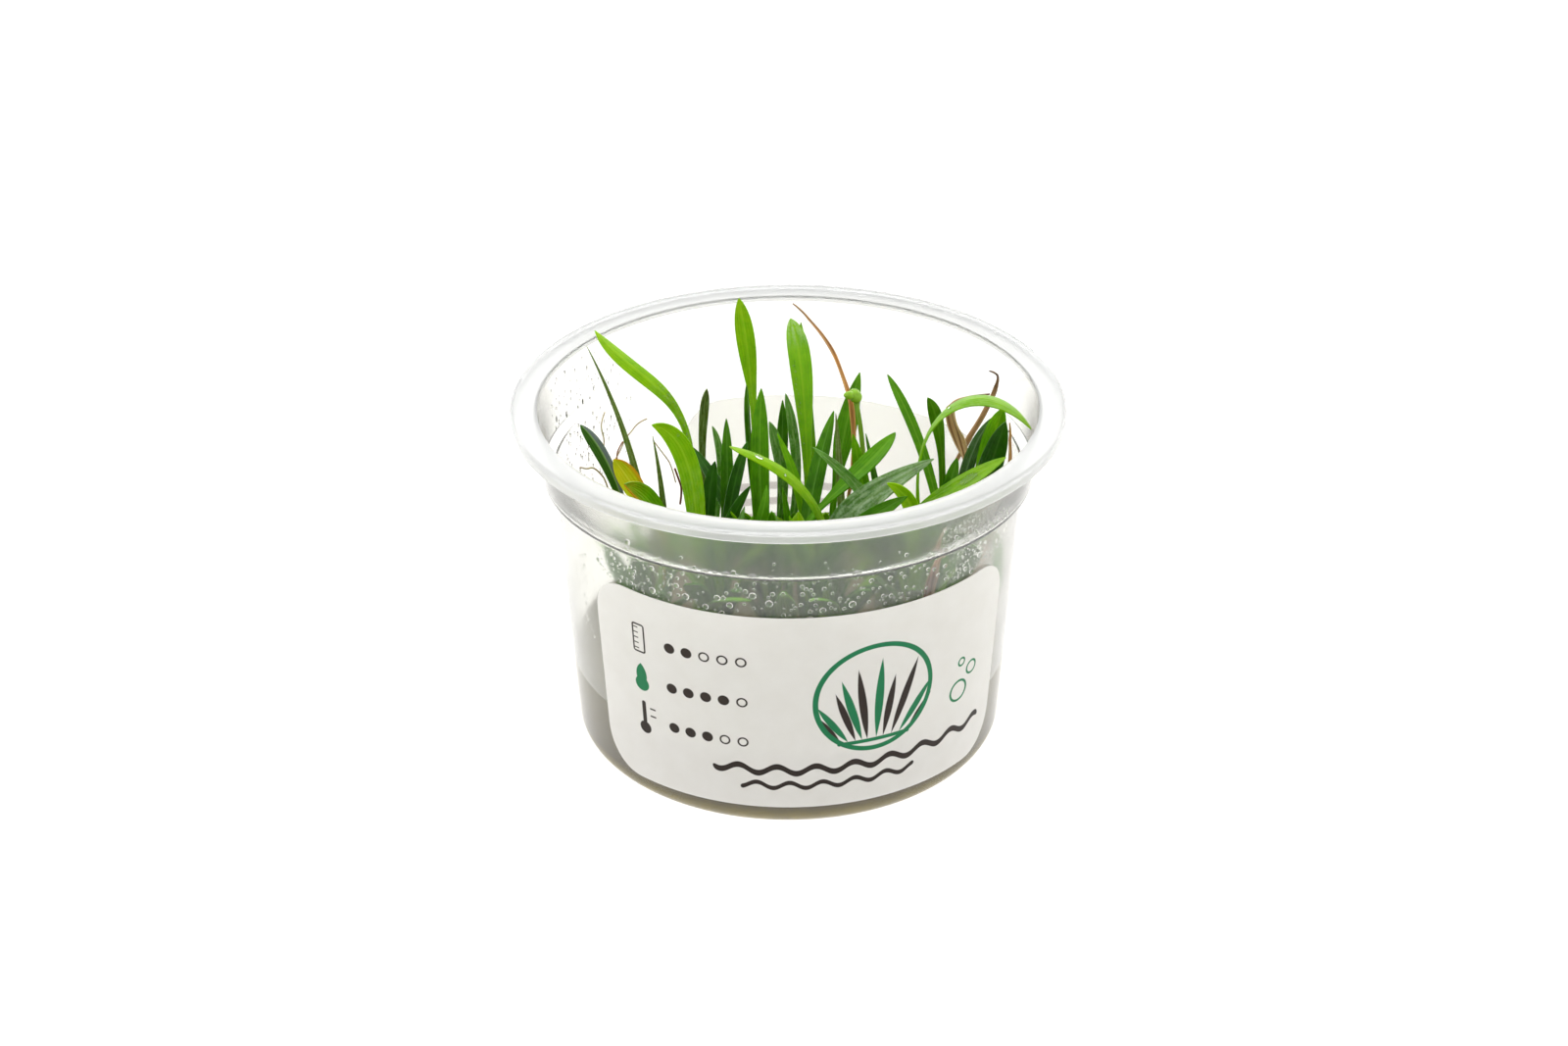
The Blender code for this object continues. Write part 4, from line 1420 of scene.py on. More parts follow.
@dataclass
class Blade:
    """Shape of one leaf blade, grown from a foot point along its line."""

    growth: Growth
    foot: Point
    buried: float = 0.02
    thickness: float = 0.26
    gutter: float = 0.10
    petiole_gutter: float = 0.30
    tip_share: float = 0.03
    twist_share: float = 0.6
    columns: int = 8
    rows: int = 36
    tip_crowding: float = 1.4
    ripple: float = 0.0
    twist: float = 0.0

    def width_at(self, share: float) -> float:
        """Width of the leaf at a share of its length, in millimetres.

        Args:
            share: Share of the leaf's length.

        Returns:
            The width.
        """
        petiole, start, widest, sharpness = self.growth.form.value
        width = self.growth.width
        petiole = min(petiole, width)
        if share < widest:
            return petiole + (width - petiole) * ease((share - start) / (widest - start))
        past = min(max((share - widest) / (1.0 - widest), 0.0), 1.0)
        return width * max((1.0 - past ** (sharpness + 0.4)) ** 0.8, self.tip_share)

    def axes(self, share: float) -> tuple[Vector, Vector, Vector]:
        """Find the leaf's line and directions.

        Args:
            share: Share of the leaf's length.

        Returns:
            Point on the line, direction across and direction of its face.
        """
        points = (self.foot, *self.growth.way, self.growth.tip)
        start = self.growth.bearing + 90.0
        swing = (self.growth.turn - start + 90.0) % 180.0 - 90.0
        ahead = line_through(points, share + 0.01) - line_through(points, share - 0.01)
        ahead.normalize()
        wring = self.twist * math.sin(9.0 * share + self.growth.bearing) * min(4.0 * max(share, 0.0), 1.0)
        angle = math.radians(start + swing * ease(share / self.twist_share) + wring)
        across = Vector((math.cos(angle), math.sin(angle), 0.0))
        across = (across - across.dot(ahead) * ahead).normalized()
        return line_through(points, share), across, across.cross(ahead)

    def point(self, side: float, share: float) -> Vector:
        """Find a point on the blade.

        Args:
            side: Place across the blade, -1 to 1.
            share: Share of the leaf's length.

        Returns:
            The point in millimetres.
        """
        middle, across, face = self.axes(share)
        half = self.width_at(share) / 2.0
        start = self.growth.form.value[1]
        blade = ease(share / max(start, 0.15))
        fold = self.petiole_gutter + (self.gutter - self.petiole_gutter) * blade
        lift = 2.0 * half * fold * (abs(side) ** 1.5 - 0.45)
        wave = self.ripple * math.sin(31.0 * share + 2.0 * side) * side
        return middle + side * half * across + (lift + wave) * face

    def sheet(self, name: str) -> bpy.types.Object:
        """Lay a grid along the leaf's line and give it its thickness.

        Args:
            name: Name of the piece.

        Returns:
            The closed blade.
        """
        deselect_all()
        bpy.ops.mesh.primitive_grid_add(
            x_subdivisions=self.columns, y_subdivisions=self.rows, size=2.0, calc_uvs=True,
        )
        obj = bpy.context.active_object
        obj.name = name
        shares: list[float] = []
        for vert in obj.data.vertices:
            along = 1.0 - ((1.0 - vert.co.y) / 2.0) ** self.tip_crowding
            shares.append(along)
            vert.co = self.point(vert.co.x, -self.buried + (1.0 + self.buried) * along) * MM
        lie = obj.data.uv_layers.active.data
        for loop in obj.data.loops:
            lie[loop.index].uv.y = shares[loop.vertex_index]
        skin = obj.modifiers.new("skin", "SOLIDIFY")
        skin.thickness = self.thickness * MM
        skin.offset = 0.0
        finish_modifiers(obj)
        smooth(obj, 60.0)
        return obj


@dataclass
class Crown:
    """Swollen leaf base with its young inner leaves.

    The sight line passes over the front of the mouth at sight_y and sight_z
    and falls toward the back. The short leaves end below it, but a little
    above it behind the middle of the front.
    """

    letter: str
    foot_z: float = 11.9
    shoulder_z: float = 17.6
    neck_z: float = 22.0
    neck_radius: float = 1.2
    inner_foot_z: float = 20.4
    inner_ring: float = 0.5
    foot_spacing: float = 2.3
    leaf_foot_z: float = 18.2
    segments: int = 28
    underleaves: int = 10
    underleaf_reach: float = 38.0
    sight_y: float = -45.5
    sight_z: float = 65.5
    sight_fall: float = 0.56
    tall_middle: float = -6.0
    tall_half: float = 14.0
    tall_lift: float = 3.0
    low_lift: float = -1.5

    def leaf_count(self) -> int:
        """Number of grown leaves and stalks on this crown."""
        count = sum(1 for growth in LEAVES.values() if growth.crown == self.letter)
        return count + (1 if self.letter == STALK_CROWN else 0)

    def ring(self) -> float:
        """Radius of the ring on which the grown leaves stand."""
        return max(self.leaf_count() * self.foot_spacing / (2.0 * math.pi) + 0.3, 2.0)

    def foot(self, bearing: float) -> Point:
        """Foot of a grown leaf at a bearing."""
        return self.on_ring(self.ring(), bearing, self.leaf_foot_z)

    def on_ring(self, ring: float, bearing: float, height: float) -> Point:
        """Point at a bearing on a ring round the crown's centre.

        Args:
            ring: Radius of the ring.
            bearing: Bearing of the point.
            height: Height of the point.

        Returns:
            The point in millimetres.
        """
        x, y = CROWNS[self.letter]
        angle = math.radians(bearing)
        return x + ring * math.cos(angle), y + ring * math.sin(angle), height

    def bulb(self) -> bpy.types.Object:
        """Spin the crown's base and press grooves between the leaf sheaths.

        Returns:
            The base.
        """
        radius = self.ring() + 0.6
        profile: Profile = [
            (0.0, self.neck_z), (self.neck_radius * 0.6, self.neck_z - 0.2),
            (self.neck_radius, self.neck_z - 1.2), (self.neck_radius, self.shoulder_z + 1.4),
            (self.neck_radius + 0.3, self.shoulder_z + 0.6), (radius - 0.9, self.shoulder_z + 0.2),
            (radius - 0.3, self.shoulder_z - 0.1), (radius, self.shoulder_z - 0.9),
            (radius, self.shoulder_z - 2.4), (radius - 0.25, self.foot_z + 1.2),
            (radius - 0.6, self.foot_z), (0.0, self.foot_z),
        ]
        bulb = spun("bulb", profile, self.segments)
        x, y = CROWNS[self.letter]
        lobes = max(self.leaf_count(), 3)
        for vert in bulb.data.vertices:
            reach = math.hypot(vert.co.x, vert.co.y)
            bearing = math.atan2(vert.co.y, vert.co.x)
            press = 1.0 - 0.07 * (1.0 + math.cos(lobes * bearing)) / 2.0 * min(reach / (radius * MM), 1.0)
            vert.co.x = vert.co.x * press + x * MM
            vert.co.y = vert.co.y * press + y * MM
        return bulb

    def undergrowth(self) -> list[Growth]:
        """Lay out the short young leaves round the crown.

        Returns:
            How each short leaf grows.
        """
        draw = random.Random(100 + ord(self.letter))
        x, y = CROWNS[self.letter]
        growths = []
        for number in range(self.underleaves):
            bearing = 360.0 * (number + 0.5 * draw.random()) / self.underleaves
            angle = math.radians(bearing + draw.uniform(-25.0, 25.0))
            lean = draw.uniform(3.0, 16.0)
            tip_x, tip_y = x + lean * math.cos(angle), y + lean * math.sin(angle)
            reach = math.hypot(tip_x, tip_y)
            if reach > self.underleaf_reach:
                tip_x = tip_x * self.underleaf_reach / reach
                tip_y = tip_y * self.underleaf_reach / reach
            tall = abs(tip_x - self.tall_middle) < self.tall_half
            sight = self.sight_z - self.sight_fall * (tip_y - self.sight_y)
            sight += self.tall_lift if tall else self.low_lift
            tip_z = min(sight, draw.uniform(32.0, 54.0))
            if tip_z < self.neck_z + 4.0:
                continue
            way_z = self.inner_foot_z + 0.55 * (tip_z - self.inner_foot_z)
            way = (x + 0.35 * (tip_x - x), y + 0.35 * (tip_y - y), way_z)
            tone = draw.choice(UNDERLEAF_TONES)
            width = draw.uniform(1.8, 3.4)
            tip = (tip_x, tip_y, tip_z)
            growths.append(
                Growth(self.letter, bearing, (way,), tip, width, bearing + 90.0, Form.STRAP, tone)
            )
        return growths

    def build(self) -> bpy.types.Object:
        """Join the base and its young leaves and give them their finishes.

        Returns:
            The crown with its tuft.
        """
        pieces = [self.bulb()]
        skin = PlantTissue("crown", "#7E8A3C", "#8FAE3A", self.foot_z, self.shoulder_z + 2.0)
        finishes = [skin.material()]
        grown = [growth for growth in YOUNG_LEAVES if growth.crown == self.letter]
        for growth in grown + self.undergrowth():
            foot = self.on_ring(self.inner_ring, growth.bearing, self.inner_foot_z)
            young = Blade(growth, foot, buried=0.05, gutter=0.14, columns=6, rows=28).sheet("young")
            if growth.finish.material not in finishes:
                finishes.append(growth.finish.material)
            number = finishes.index(growth.finish.material)
            for material in finishes:
                young.data.materials.append(material)
            for face in young.data.polygons:
                face.material_index = number
            pieces.append(young)
        for material in finishes:
            pieces[0].data.materials.append(material)
        whole = joined(pieces)
        indices = [face.material_index for face in whole.data.polygons]
        crown = dress(whole, "crown_" + self.letter + "_tuft", "crown", finishes, "crown_" + self.letter)
        for face, index in zip(crown.data.polygons, indices):
            face.material_index = index
        return crown


@dataclass
class GrownLeaf:
    """One grown leaf, living or dead, that stands for a CAD leaf."""

    node: str
    growth: Growth

    def blade(self) -> Blade:
        """Set the shape of the blade.

        Returns:
            The blade, rippled and twisted where the leaf is dead.
        """
        foot = Crown(self.growth.crown).foot(self.growth.bearing)
        if isinstance(self.growth.finish, Decay):
            return Blade(
                self.growth, foot, thickness=0.2, gutter=0.42, petiole_gutter=0.3, columns=8, rows=64,
                ripple=0.16, twist=55.0,
            )
        return Blade(self.growth, foot)

    def slot(self) -> str:
        """The record's material slot for this leaf.

        Returns:
            The slot's name.
        """
        if isinstance(self.growth.finish, Decay):
            return "dry_leaf"
        number = int(self.node[-2:])
        if number in BRIGHT_LEAVES:
            return "leaf_bright"
        return "leaf_dark" if number in DARK_LEAVES else "leaf_mid"

    def build(self) -> bpy.types.Object:
        """Build the blade and give it its finish.

        Returns:
            The leaf.
        """
        piece = self.blade().sheet(self.node)
        return dress(piece, self.node + "_blade", self.slot(), [self.growth.finish.material], self.node)


@dataclass
class FlowerStalk:
    """Upright round stalk with one closed bud and a small bract.

    Its way and tip come from the same fit as the leaves' routes.
    """

    bearing: float = 290.0
    way: tuple[Point, ...] = ((14.0, 13.0, 36.5),)
    tip: Point = (13.0, 20.5, 55.5)
    radius: float = 0.6
    bud_radius: float = 1.3
    bract_radius: float = 0.95
    bract_place: Point = (-1.3, -0.3, 1.7)
    sides: int = 16
    steps: int = 20
    bud_steps: int = 12

    def stations(self) -> list[tuple[Vector, float]]:
        """Centre and radius of each ring from foot to bud, in millimetres.

        Returns:
            The rings in order.
        """
        points = (Crown(STALK_CROWN).foot(self.bearing), *self.way, self.tip)
        rings = []
        for step in range(self.steps + 1):
            share = -0.03 + 1.03 * step / self.steps
            rings.append((line_through(points, share), self.radius * (1.0 - 0.25 * max(share, 0.0))))
        upward = (line_through(points, 1.0) - line_through(points, 0.98)).normalized()
        for step in range(1, self.bud_steps + 1):
            angle = math.pi * (0.10 + 0.88 * step / self.bud_steps)
            rise = self.bud_radius * (1.0 - math.cos(angle))
            girth = max(self.bud_radius * math.sin(angle), 0.12)
            rings.append((Vector(self.tip) + upward * rise, girth))
        return rings

    def bract(self) -> bpy.types.Object:
        """Shape the small round bract that stands off the bud's left side.

        Returns:
            The bract.
        """
        deselect_all()
        centre = Vector(self.tip) + Vector(self.bract_place)
        bpy.ops.mesh.primitive_uv_sphere_add(
            segments=20, ring_count=12, radius=self.bract_radius * MM, location=tuple(centre * MM),
        )
        bpy.ops.object.transform_apply(location=True, rotation=False, scale=False)
        bract = bpy.context.active_object
        middle = centre * MM
        for vert in bract.data.vertices:
            away = vert.co - middle
            ridge = 1.0 + 0.07 * math.cos(5.0 * math.atan2(away.y, away.x))
            point = 1.0 + 0.25 * max(-away.x / (self.bract_radius * MM), 0.0) ** 2
            vert.co = middle + Vector((away.x * point, away.y * ridge, away.z * 0.85))
        return bract

    def build(self) -> bpy.types.Object:
        """Extrude a circle up the stalk and over the bud.

        Returns:
            The stalk with its bud and bract.
        """
        rings = self.stations()
        deselect_all()
        bpy.ops.mesh.primitive_circle_add(vertices=self.sides, radius=rings[0][1] * MM, fill_type="NGON",
                                          location=tuple(rings[0][0] * MM))
        bpy.ops.object.transform_apply(location=True, rotation=False, scale=False)
        stalk = bpy.context.active_object
        bpy.ops.object.mode_set(mode="EDIT")
        bpy.ops.mesh.select_all(action="SELECT")
        centre, girth = rings[0]
        for next_centre, next_girth in rings[1:]:
            bpy.ops.mesh.extrude_region_move(
                TRANSFORM_OT_translate={"value": tuple((next_centre - centre) * MM)},
            )
            scale = next_girth / girth
            bpy.ops.transform.resize(value=(scale, scale, 1.0), center_override=tuple(next_centre * MM))
            centre, girth = next_centre, next_girth
        bpy.ops.mesh.select_all(action="SELECT")
        bpy.ops.mesh.normals_make_consistent(inside=False)
        bpy.ops.object.mode_set(mode="OBJECT")
        stalk = joined([stalk, self.bract()])
        smooth(stalk, 60.0)
        skin = PlantTissue("stalk_and_bud", "#76A020", "#98CC24", self.tip[2] - 2.0, self.tip[2] + 2.5, 0.22)
        return dress(stalk, "flower_stalk_with_bud", "flower", [skin.material()], "flower_stalk")


# Water


def bead_dome(segments: int, rings: int) -> bpy.types.Object:
    """Cut a sphere in half as the pattern of a bead.

    Args:
        segments: Segments round the bead.
        rings: Rings of the whole sphere.

    Returns:
        A closed dome of radius 1 on the XY plane.
    """
    deselect_all()
    bpy.ops.mesh.primitive_uv_sphere_add(segments=segments, ring_count=rings, radius=1.0)
    dome = bpy.context.active_object
    bpy.ops.object.mode_set(mode="EDIT")
    bpy.ops.mesh.select_all(action="SELECT")
    bpy.ops.mesh.bisect(
        plane_co=(0.0, 0.0, 0.02), plane_no=(0.0, 0.0, 1.0), use_fill=True, clear_inner=True,
    )
    bpy.ops.object.mode_set(mode="OBJECT")
    return dome


@dataclass(frozen=True)
class BeadZone:
    """Stretch of the cup's inner wall with condensed beads.

    Bearings in degrees, heights and radii in millimetres. Drawn is how much
    longer than wide a bead is.
    """

    bearings: tuple[float, float]
    heights: tuple[float, float]
    count: int
    radii: tuple[float, float]
    drawn: float = 1.0


# Big beads: bearing, height and radius; the first nine lie on the ledge.
# Their places were picked on the photograph and turned into bearings by a program.
BIG_BEADS: tuple[tuple[float, float, float], ...] = (
    (-125.0, 54.4, 0.8), (-120.5, 54.4, 0.9), (-112.0, 54.4, 0.8), (-109.0, 54.4, 0.7), (-104.0, 54.4, 0.9),
    (-98.0, 54.4, 1.0), (-80.0, 54.4, 0.8), (-74.6, 54.4, 0.9), (-56.0, 54.4, 0.8),
    (-128.0, 56.8, 0.6), (-102.0, 55.6, 0.5), (-53.0, 55.4, 0.5), (-50.0, 57.0, 0.5), (-38.0, 55.7, 0.6),
    (-85.0, 44.8, 1.0), (-103.8, 47.5, 0.6), (-105.8, 45.6, 0.6), (-106.8, 48.7, 0.6), (-114.8, 47.7, 0.7),
    (-124.0, 47.0, 0.7), (-94.5, 48.5, 0.7), (-82.0, 46.9, 0.6), (-75.0, 47.5, 0.7), (-40.5, 46.3, 0.6),
    (-37.8, 48.8, 0.6), (-142.0, 48.0, 0.6), (-140.0, 42.7, 0.6),
)


@dataclass
class Condensation:
    """Beads of water on the inside of the wall."""

    cup: CultureCup
    name: str
    zones: tuple[BeadZone, ...]
    seed: int
    single: tuple[tuple[float, float, float], ...] = ()
    stand_off: float = 0.02
    flatness: float = 0.62
    segments: int = 12
    rings: int = 8

    def place(self, bearing: float, height: float, radius: float, drawn: float) -> Matrix:
        """Find the matrix that sets a bead on the wall.

        Args:
            bearing: Bearing of the bead.
            height: Height of the bead.
            radius: Radius of the bead's foot.
            drawn: How much longer than wide it is.

        Returns:
            The matrix in metres.
        """
        angle = math.radians(bearing)
        reach = self.cup.inner_radius(height) - self.stand_off
        lean = (self.cup.inner_radius(height + 0.2) - self.cup.inner_radius(height - 0.2)) / 0.4
        up = Vector((math.cos(angle) * lean, math.sin(angle) * lean, 1.0)).normalized()
        round_wall = Vector((-math.sin(angle), math.cos(angle), 0.0))
        inward = up.cross(round_wall)
        if inward.dot(Vector((math.cos(angle), math.sin(angle), 0.0))) > 0.0:
            inward.negate()
        centre = Vector((reach * math.cos(angle), reach * math.sin(angle), height))
        turn = Matrix((up.cross(inward), up, inward)).transposed().to_4x4()
        size = Matrix.Diagonal((radius, radius * drawn, radius * self.flatness, 1.0))
        return Matrix.Scale(MM, 4) @ Matrix.Translation(centre) @ turn @ size

    def build(self) -> bpy.types.Object:
        """Scatter the beads, none over another, and join them.

        Returns:
            The beads as one piece.
        """
        draw = random.Random(self.seed)
        taken: list[tuple[float, float, float]] = []
        places: list[Matrix] = []
        for bearing, height, radius in self.single:
            taken.append((math.radians(bearing) * self.cup.inner_radius(height), height, radius))
            places.append(self.place(bearing, height, radius, 1.0))
        for zone in self.zones:
            for _ in range(zone.count):
                bearing = draw.uniform(*zone.bearings)
                height = draw.uniform(*zone.heights)
                low, high = zone.radii
                radius = low + (high - low) * draw.random() ** 2.0
                along = math.radians(bearing) * self.cup.inner_radius(height)
                if any(math.hypot(along - x, height - z) < radius + r + 0.05 for x, z, r in taken):
                    continue
                taken.append((along, height, radius))
                places.append(self.place(bearing, height, radius, zone.drawn))
        beads = copies(self.name, bead_dome(self.segments, self.rings), places)
        smooth(beads, 50.0)
        return dress(beads, self.name, "cup", [ClearWater().material()])


@dataclass(frozen=True)
class LeafDrop:
    """One drop on a leaf: side and share place it, sizes in millimetres."""

    node: str
    side: float
    share: float
    radius: float
    drawn: float = 1.0


@dataclass
class LeafDrops:
    """Clear drops that cling to the leaves."""

    name: str = "drops_on_leaves"
    flatness: float = 0.45
    single: tuple[LeafDrop, ...] = (
        LeafDrop("leaf_24", -0.15, 0.86, 0.5, 1.7),
        LeafDrop("leaf_24", 0.2, 0.72, 0.3),
        LeafDrop("leaf_25", -0.35, 0.89, 0.9, 1.2),
        LeafDrop("leaf_25", 0.3, 0.96, 0.5),
        LeafDrop("leaf_25", 0.7, 0.84, 0.4),
        LeafDrop("leaf_32", -0.1, 0.90, 0.9, 2.2),
        LeafDrop("leaf_32", 0.3, 0.80, 0.35),
        LeafDrop("leaf_27", -0.2, 0.70, 0.3),
        LeafDrop("leaf_07", 0.5, 0.85, 0.3),
    )
    rows: tuple[tuple[str, float, float, float, int], ...] = (
        ("leaf_16", -0.62, 0.38, 0.80, 20),
        ("leaf_01", -0.45, 0.40, 0.66, 12),
        ("leaf_01", 0.15, 0.36, 0.60, 9),
        ("leaf_23", 0.55, 0.55, 0.9, 6),
    )
    seed: int = 5
    segments: int = 20
    rings: int = 12

    def drops(self) -> list[LeafDrop]:
        """All drops, with the rows of small ones spread along their leaf.

        Returns:
            The drops.
        """
        draw = random.Random(self.seed)
        drops = list(self.single)
        for node, side, first, last, count in self.rows:
            for number in range(count):
                share = first + (last - first) * (number + draw.uniform(-0.3, 0.3)) / (count - 1)
                aside = side + draw.uniform(-0.12, 0.12)
                drops.append(LeafDrop(node, aside, share, draw.uniform(0.17, 0.32)))
        return drops

    def place(self, drop: LeafDrop) -> Matrix:
        """Find the matrix that sets a drop on the lit face of its leaf.

        Args:
            drop: The drop.

        Returns:
            The matrix in metres.
        """
        blade = GrownLeaf(drop.node, LEAVES[drop.node]).blade()
        across, face = blade.axes(drop.share)[1:]
        if face.dot(Vector((0.0, -0.7, 0.7))) < 0.0:
            face.negate()
        ahead = face.cross(across)
        centre = blade.point(drop.side, drop.share) + face * (blade.thickness / 2.0 + 0.01)
        turn = Matrix((across, ahead, face)).transposed().to_4x4()
        size = Matrix.Diagonal((drop.radius, drop.radius * drop.drawn, drop.radius * self.flatness, 1.0))
        return Matrix.Scale(MM, 4) @ Matrix.Translation(centre) @ turn @ size

    def build(self) -> bpy.types.Object:
        """Set every drop on its leaf.

        Returns:
            The drops as one piece.
        """
        dome = bead_dome(self.segments, self.rings)
        water = copies(self.name, dome, [self.place(drop) for drop in self.drops()])
        smooth(water, 50.0)
        return dress(water, self.name, "leaf_bright", [ClearWater().material()])


@dataclass
class StrayRoots:
    """Fine dead roots and leaf threads that stick to the wet wall.

    Each thread has its radius and points of bearing and height, picked on the
    photograph and turned into bearings and heights by a program.
    """

    cup: CultureCup
    tan: tuple[tuple[float, tuple[tuple[float, float], ...]], ...] = (
        (0.16, ((160, 45.0), (157, 43.5), (154, 43.0), (151, 41.0), (148, 38.0), (147, 34.0))),
        (0.14, ((146, 52.0), (148, 50.5), (148, 48.5), (147, 46.0), (149, 43.5))),
        (0.13, ((131, 46.5), (134, 46.5), (137, 45.0), (139, 44.5), (141, 42.5), (144, 41.0))),
        (0.12, ((129, 41.0), (126, 37.5), (124, 35.0), (123, 31.0))),
    )
    red: tuple[tuple[float, tuple[tuple[float, float], ...]], ...] = (
        (0.15, ((140, 44.0), (142, 43.0), (143, 41.5), (142, 38.5), (144, 36.0))),
        (0.22, ((123, 34.0), (122, 31.5), (121, 29.0), (122, 26.0))),
    )
    stand_off: float = 0.25
    steps: int = 6

    def thread(self, radius: float, points: Sequence[tuple[float, float]]) -> bpy.types.Object:
        """Draw one thread on the wall as a round curve made a mesh.

        Args:
            radius: Radius of the thread in millimetres.
            points: Bearing and height of the points that it passes.

        Returns:
            The thread.
        """
        curve = bpy.data.curves.new("thread", "CURVE")
        curve.dimensions = "3D"
        curve.bevel_depth = radius * MM
        curve.bevel_resolution = 1
        curve.resolution_u = self.steps
        curve.use_fill_caps = True
        spline = curve.splines.new("NURBS")
        spline.points.add(len(points) - 1)
        spline.use_endpoint_u = True
        spline.order_u = 3
        for knot, (bearing, height) in zip(spline.points, points):
            reach = self.cup.inner_radius(height) - self.stand_off
            angle = math.radians(bearing)
            knot.co = (reach * math.cos(angle) * MM, reach * math.sin(angle) * MM, height * MM, 1.0)
        obj = bpy.data.objects.new("thread", curve)
        bpy.context.scene.collection.objects.link(obj)
        pick(obj)
        bpy.ops.object.convert(target="MESH")
        return bpy.context.active_object

    def build(self) -> None:
        """Lay the tan and the reddish threads on the wall."""
        for name, threads, low, high in (
            ("tan_root_threads", self.tan, "#B8946A", "#E2CCA4"),
            ("reddish_root_threads", self.red, "#8A4A38", "#C4866A"),
        ):
            whole = joined([self.thread(radius, points) for radius, points in threads])
            smooth(whole, 60.0)
            skin = PlantTissue(name, low, high, 30.0, 50.0, 0.6)
            dress(whole, name, "dry_leaf", [skin.material()])


# Studio


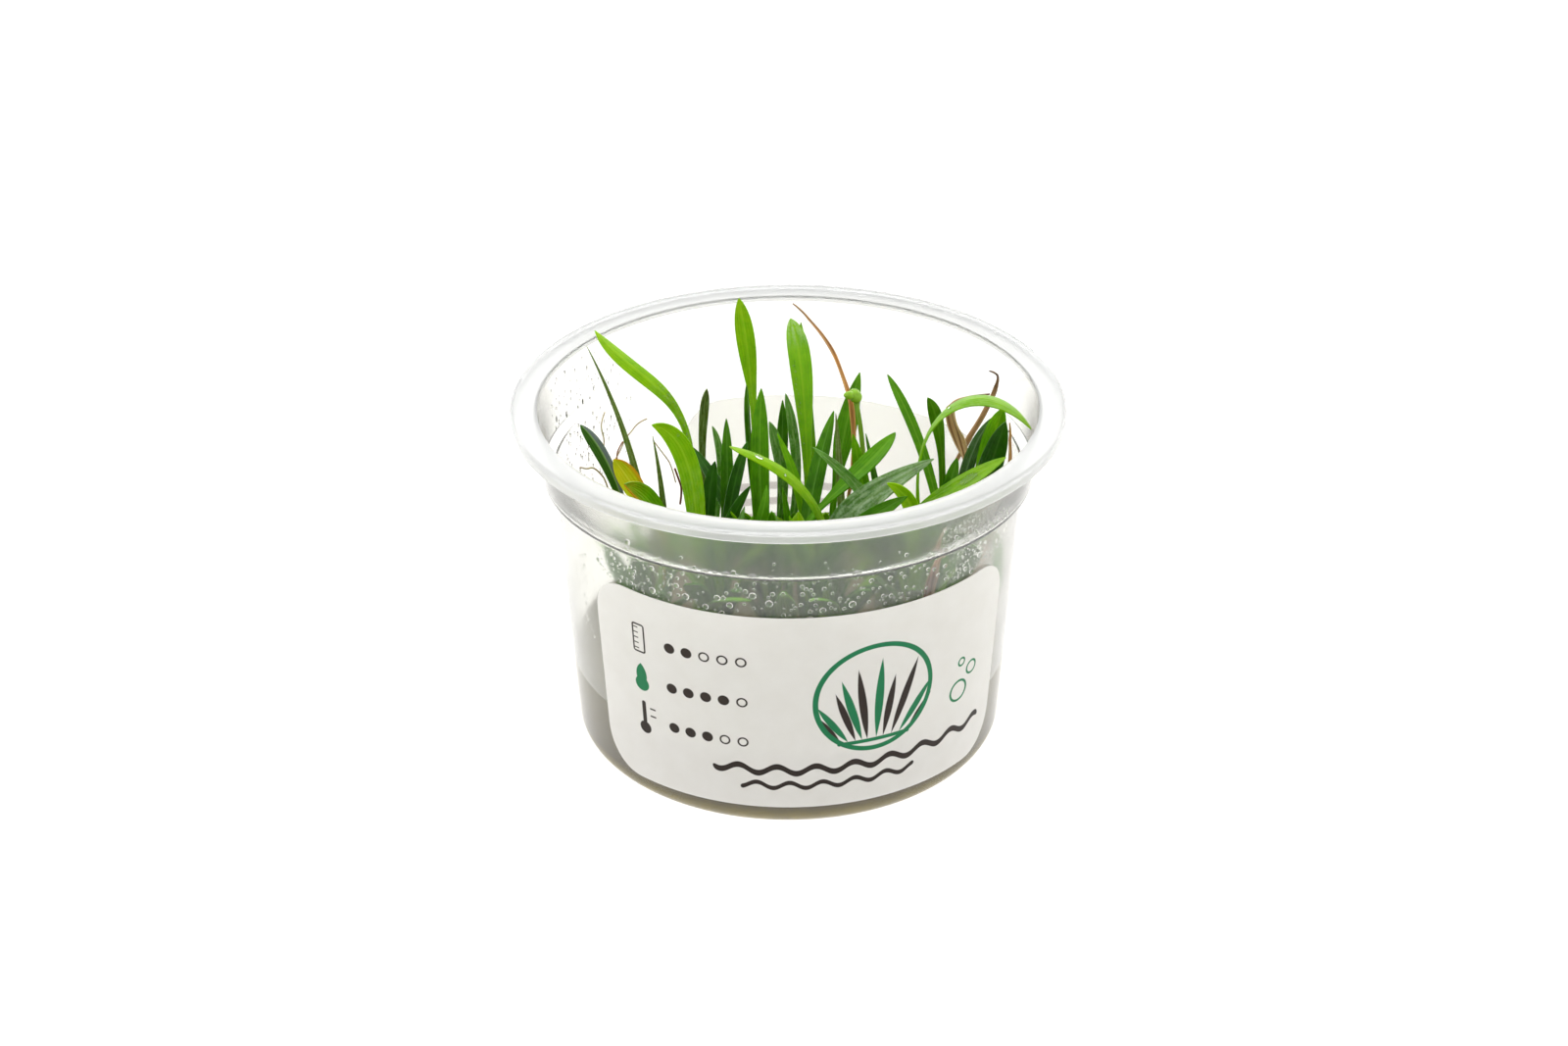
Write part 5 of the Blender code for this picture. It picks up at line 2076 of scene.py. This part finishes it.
@dataclass
class Studio:
    """White floor, soft light and the camera, fitted to the photograph."""

    floor_size: float = 12.0
    sensor: float = 36.0
    lens: float = 65.385
    camera_place: Point = (0.0, -0.4635, 0.2978)
    pitch: float = 29.01
    yaw: float = -0.10
    roll: float = -0.21
    front_strength: float = 0.62
    back_strength: float = 2.2

    def floor(self) -> bpy.types.Object:
        """Lay the floor, a flat sheet.

        Returns:
            The floor.
        """
        deselect_all()
        bpy.ops.mesh.primitive_grid_add(x_subdivisions=8, y_subdivisions=8, size=self.floor_size)
        sheet = bpy.context.active_object
        sheet.name = "studio_floor"
        sheet.data.materials.append(LightTable().material())
        sheet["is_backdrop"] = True
        return sheet

    def lights(self) -> None:
        """Set the white surroundings and the soft boxes."""
        world = bpy.data.worlds.new("white_surround")
        bpy.context.scene.world = world
        world.use_nodes = True
        tree = world.node_tree
        surround = tree.nodes["Background"]
        surround.inputs["Color"].default_value = linear("#FFFFFF")
        # The backdrop is brightest low on its far side, dimmest behind the camera
        toward = wired(tree, "TexCoord", {}, "Generated")
        ahead = wired(
            tree, "VectorMath", {0: toward, 1: (0.0, 1.0, -0.5)}, "Value", operation="DOT_PRODUCT",
        )
        strength = wired(
            tree, "MapRange",
            {"Value": ahead, "From Min": -0.6, "From Max": 0.9,
             "To Min": self.front_strength, "To Max": self.back_strength},
            interpolation_type="SMOOTHSTEP",
        )
        tree.links.new(strength, surround.inputs["Strength"])
        for name, place, size, power in (
            ("overhead_softbox", (0.0, -0.1, 0.9), 0.9, 1.6),
            ("left_softbox", (-0.9, -0.5, 0.6), 0.7, 1.4),
            ("right_softbox", (0.9, -0.3, 0.6), 0.7, 0.8),
        ):
            light = bpy.data.lights.new(name, "AREA")
            light.shape = "SQUARE"
            light.size = size
            light.energy = power
            lamp = bpy.data.objects.new(name, light)
            bpy.context.scene.collection.objects.link(lamp)
            lamp.location = place
            aim = Vector((0.0, 0.0, 0.03)) - Vector(place)
            lamp.rotation_euler = aim.to_track_quat("-Z", "Y").to_euler()

    def camera(self) -> bpy.types.Object:
        """Set the camera at the photograph's angle.

        Returns:
            The camera.
        """
        pitch, yaw, roll = (math.radians(a) for a in (self.pitch, self.yaw, self.roll))
        ahead = Vector((math.sin(yaw) * math.cos(pitch), math.cos(yaw) * math.cos(pitch), -math.sin(pitch)))
        right = ahead.cross(Vector((0.0, 0.0, 1.0))).normalized()
        up = right.cross(ahead)
        tilted_right = math.cos(roll) * right + math.sin(roll) * up
        tilted_up = -math.sin(roll) * right + math.cos(roll) * up
        data = bpy.data.cameras.new("camera")
        data.sensor_width = self.sensor
        data.lens = self.lens
        data.clip_start = 0.01
        data.clip_end = 40.0
        camera = bpy.data.objects.new("camera", data)
        bpy.context.scene.collection.objects.link(camera)
        turn = Matrix((tilted_right, tilted_up, -ahead)).transposed().to_4x4()
        camera.matrix_world = Matrix.Translation(Vector(self.camera_place)) @ turn
        bpy.context.scene.camera = camera
        return camera

    def build(self) -> None:
        """Set up the whole studio."""
        self.floor()
        self.lights()
        self.camera()
        # Light has to find its way through the wall and between the leaves
        bpy.context.scene.cycles.max_bounces = 20
        bpy.context.scene.cycles.diffuse_bounces = 8
        bpy.context.scene.cycles.transmission_bounces = 16
        view = bpy.context.scene.view_settings
        view.view_transform = "Standard"
        view.look = "None"


def write_sizes() -> None:
    """Work out the CAD box and the dressed box, in metres, as plain lists."""
    boxes = {"cad": CAD_BOX, "visual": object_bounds()}
    plain = {name: [[float(c) for c in corner] for corner in box] for name, box in boxes.items()}


def main() -> None:
    """Build the studio and every piece of the planted cup in order."""
    logging.basicConfig(level=logging.INFO, format="%(message)s")
    Studio().build()
    cup = CultureCup()
    cup.build()
    CultureGel(cup).build()
    PaperLabel(cup, "paper_label_front", "label_front", -85.0, Print.FRONT).build()
    PaperLabel(cup, "paper_label_back", "label_back", 61.0, Print.BACK).build()
    for letter in CROWNS:
        Crown(letter).build()
    for node, growth in LEAVES.items():
        GrownLeaf(node, growth).build()
    FlowerStalk().build()
    StrayRoots(cup).build()
    LeafDrops().build()
    Condensation(cup, "condensation_front", (
        BeadZone((-130.0, -60.0), (46.0, 53.0), 30, (0.35, 0.75)),
        BeadZone((-138.0, -35.0), (46.0, 53.2), 210, (0.20, 0.50)),
        BeadZone((-142.0, -118.0), (45.5, 53.4), 170, (0.14, 0.34)),
        BeadZone((-50.0, -34.0), (46.0, 53.4), 130, (0.14, 0.34)),
        BeadZone((-142.0, -32.0), (53.1, 53.7), 200, (0.12, 0.22)),
        BeadZone((-140.0, -32.0), (54.0, 54.5), 70, (0.18, 0.50)),
        BeadZone((-130.0, -60.0), (55.0, 58.0), 14, (0.20, 0.45)),
    ), 11, BIG_BEADS).build()
    Condensation(cup, "condensation_right", (
        BeadZone((-54.0, -30.0), (54.8, 60.0), 330, (0.18, 0.42)),
        BeadZone((-33.0, -10.0), (46.0, 53.5), 50, (0.15, 0.45)),
    ), 23).build()
    Condensation(cup, "condensation_left", (
        BeadZone((-152.0, -148.0), (29.0, 47.0), 26, (0.15, 0.4), 1.3),
        BeadZone((135.0, 168.0), (36.0, 64.0), 190, (0.12, 0.42), 1.7),
    ), 31).build()
    write_sizes()


if __name__ == "__main__":
    main()
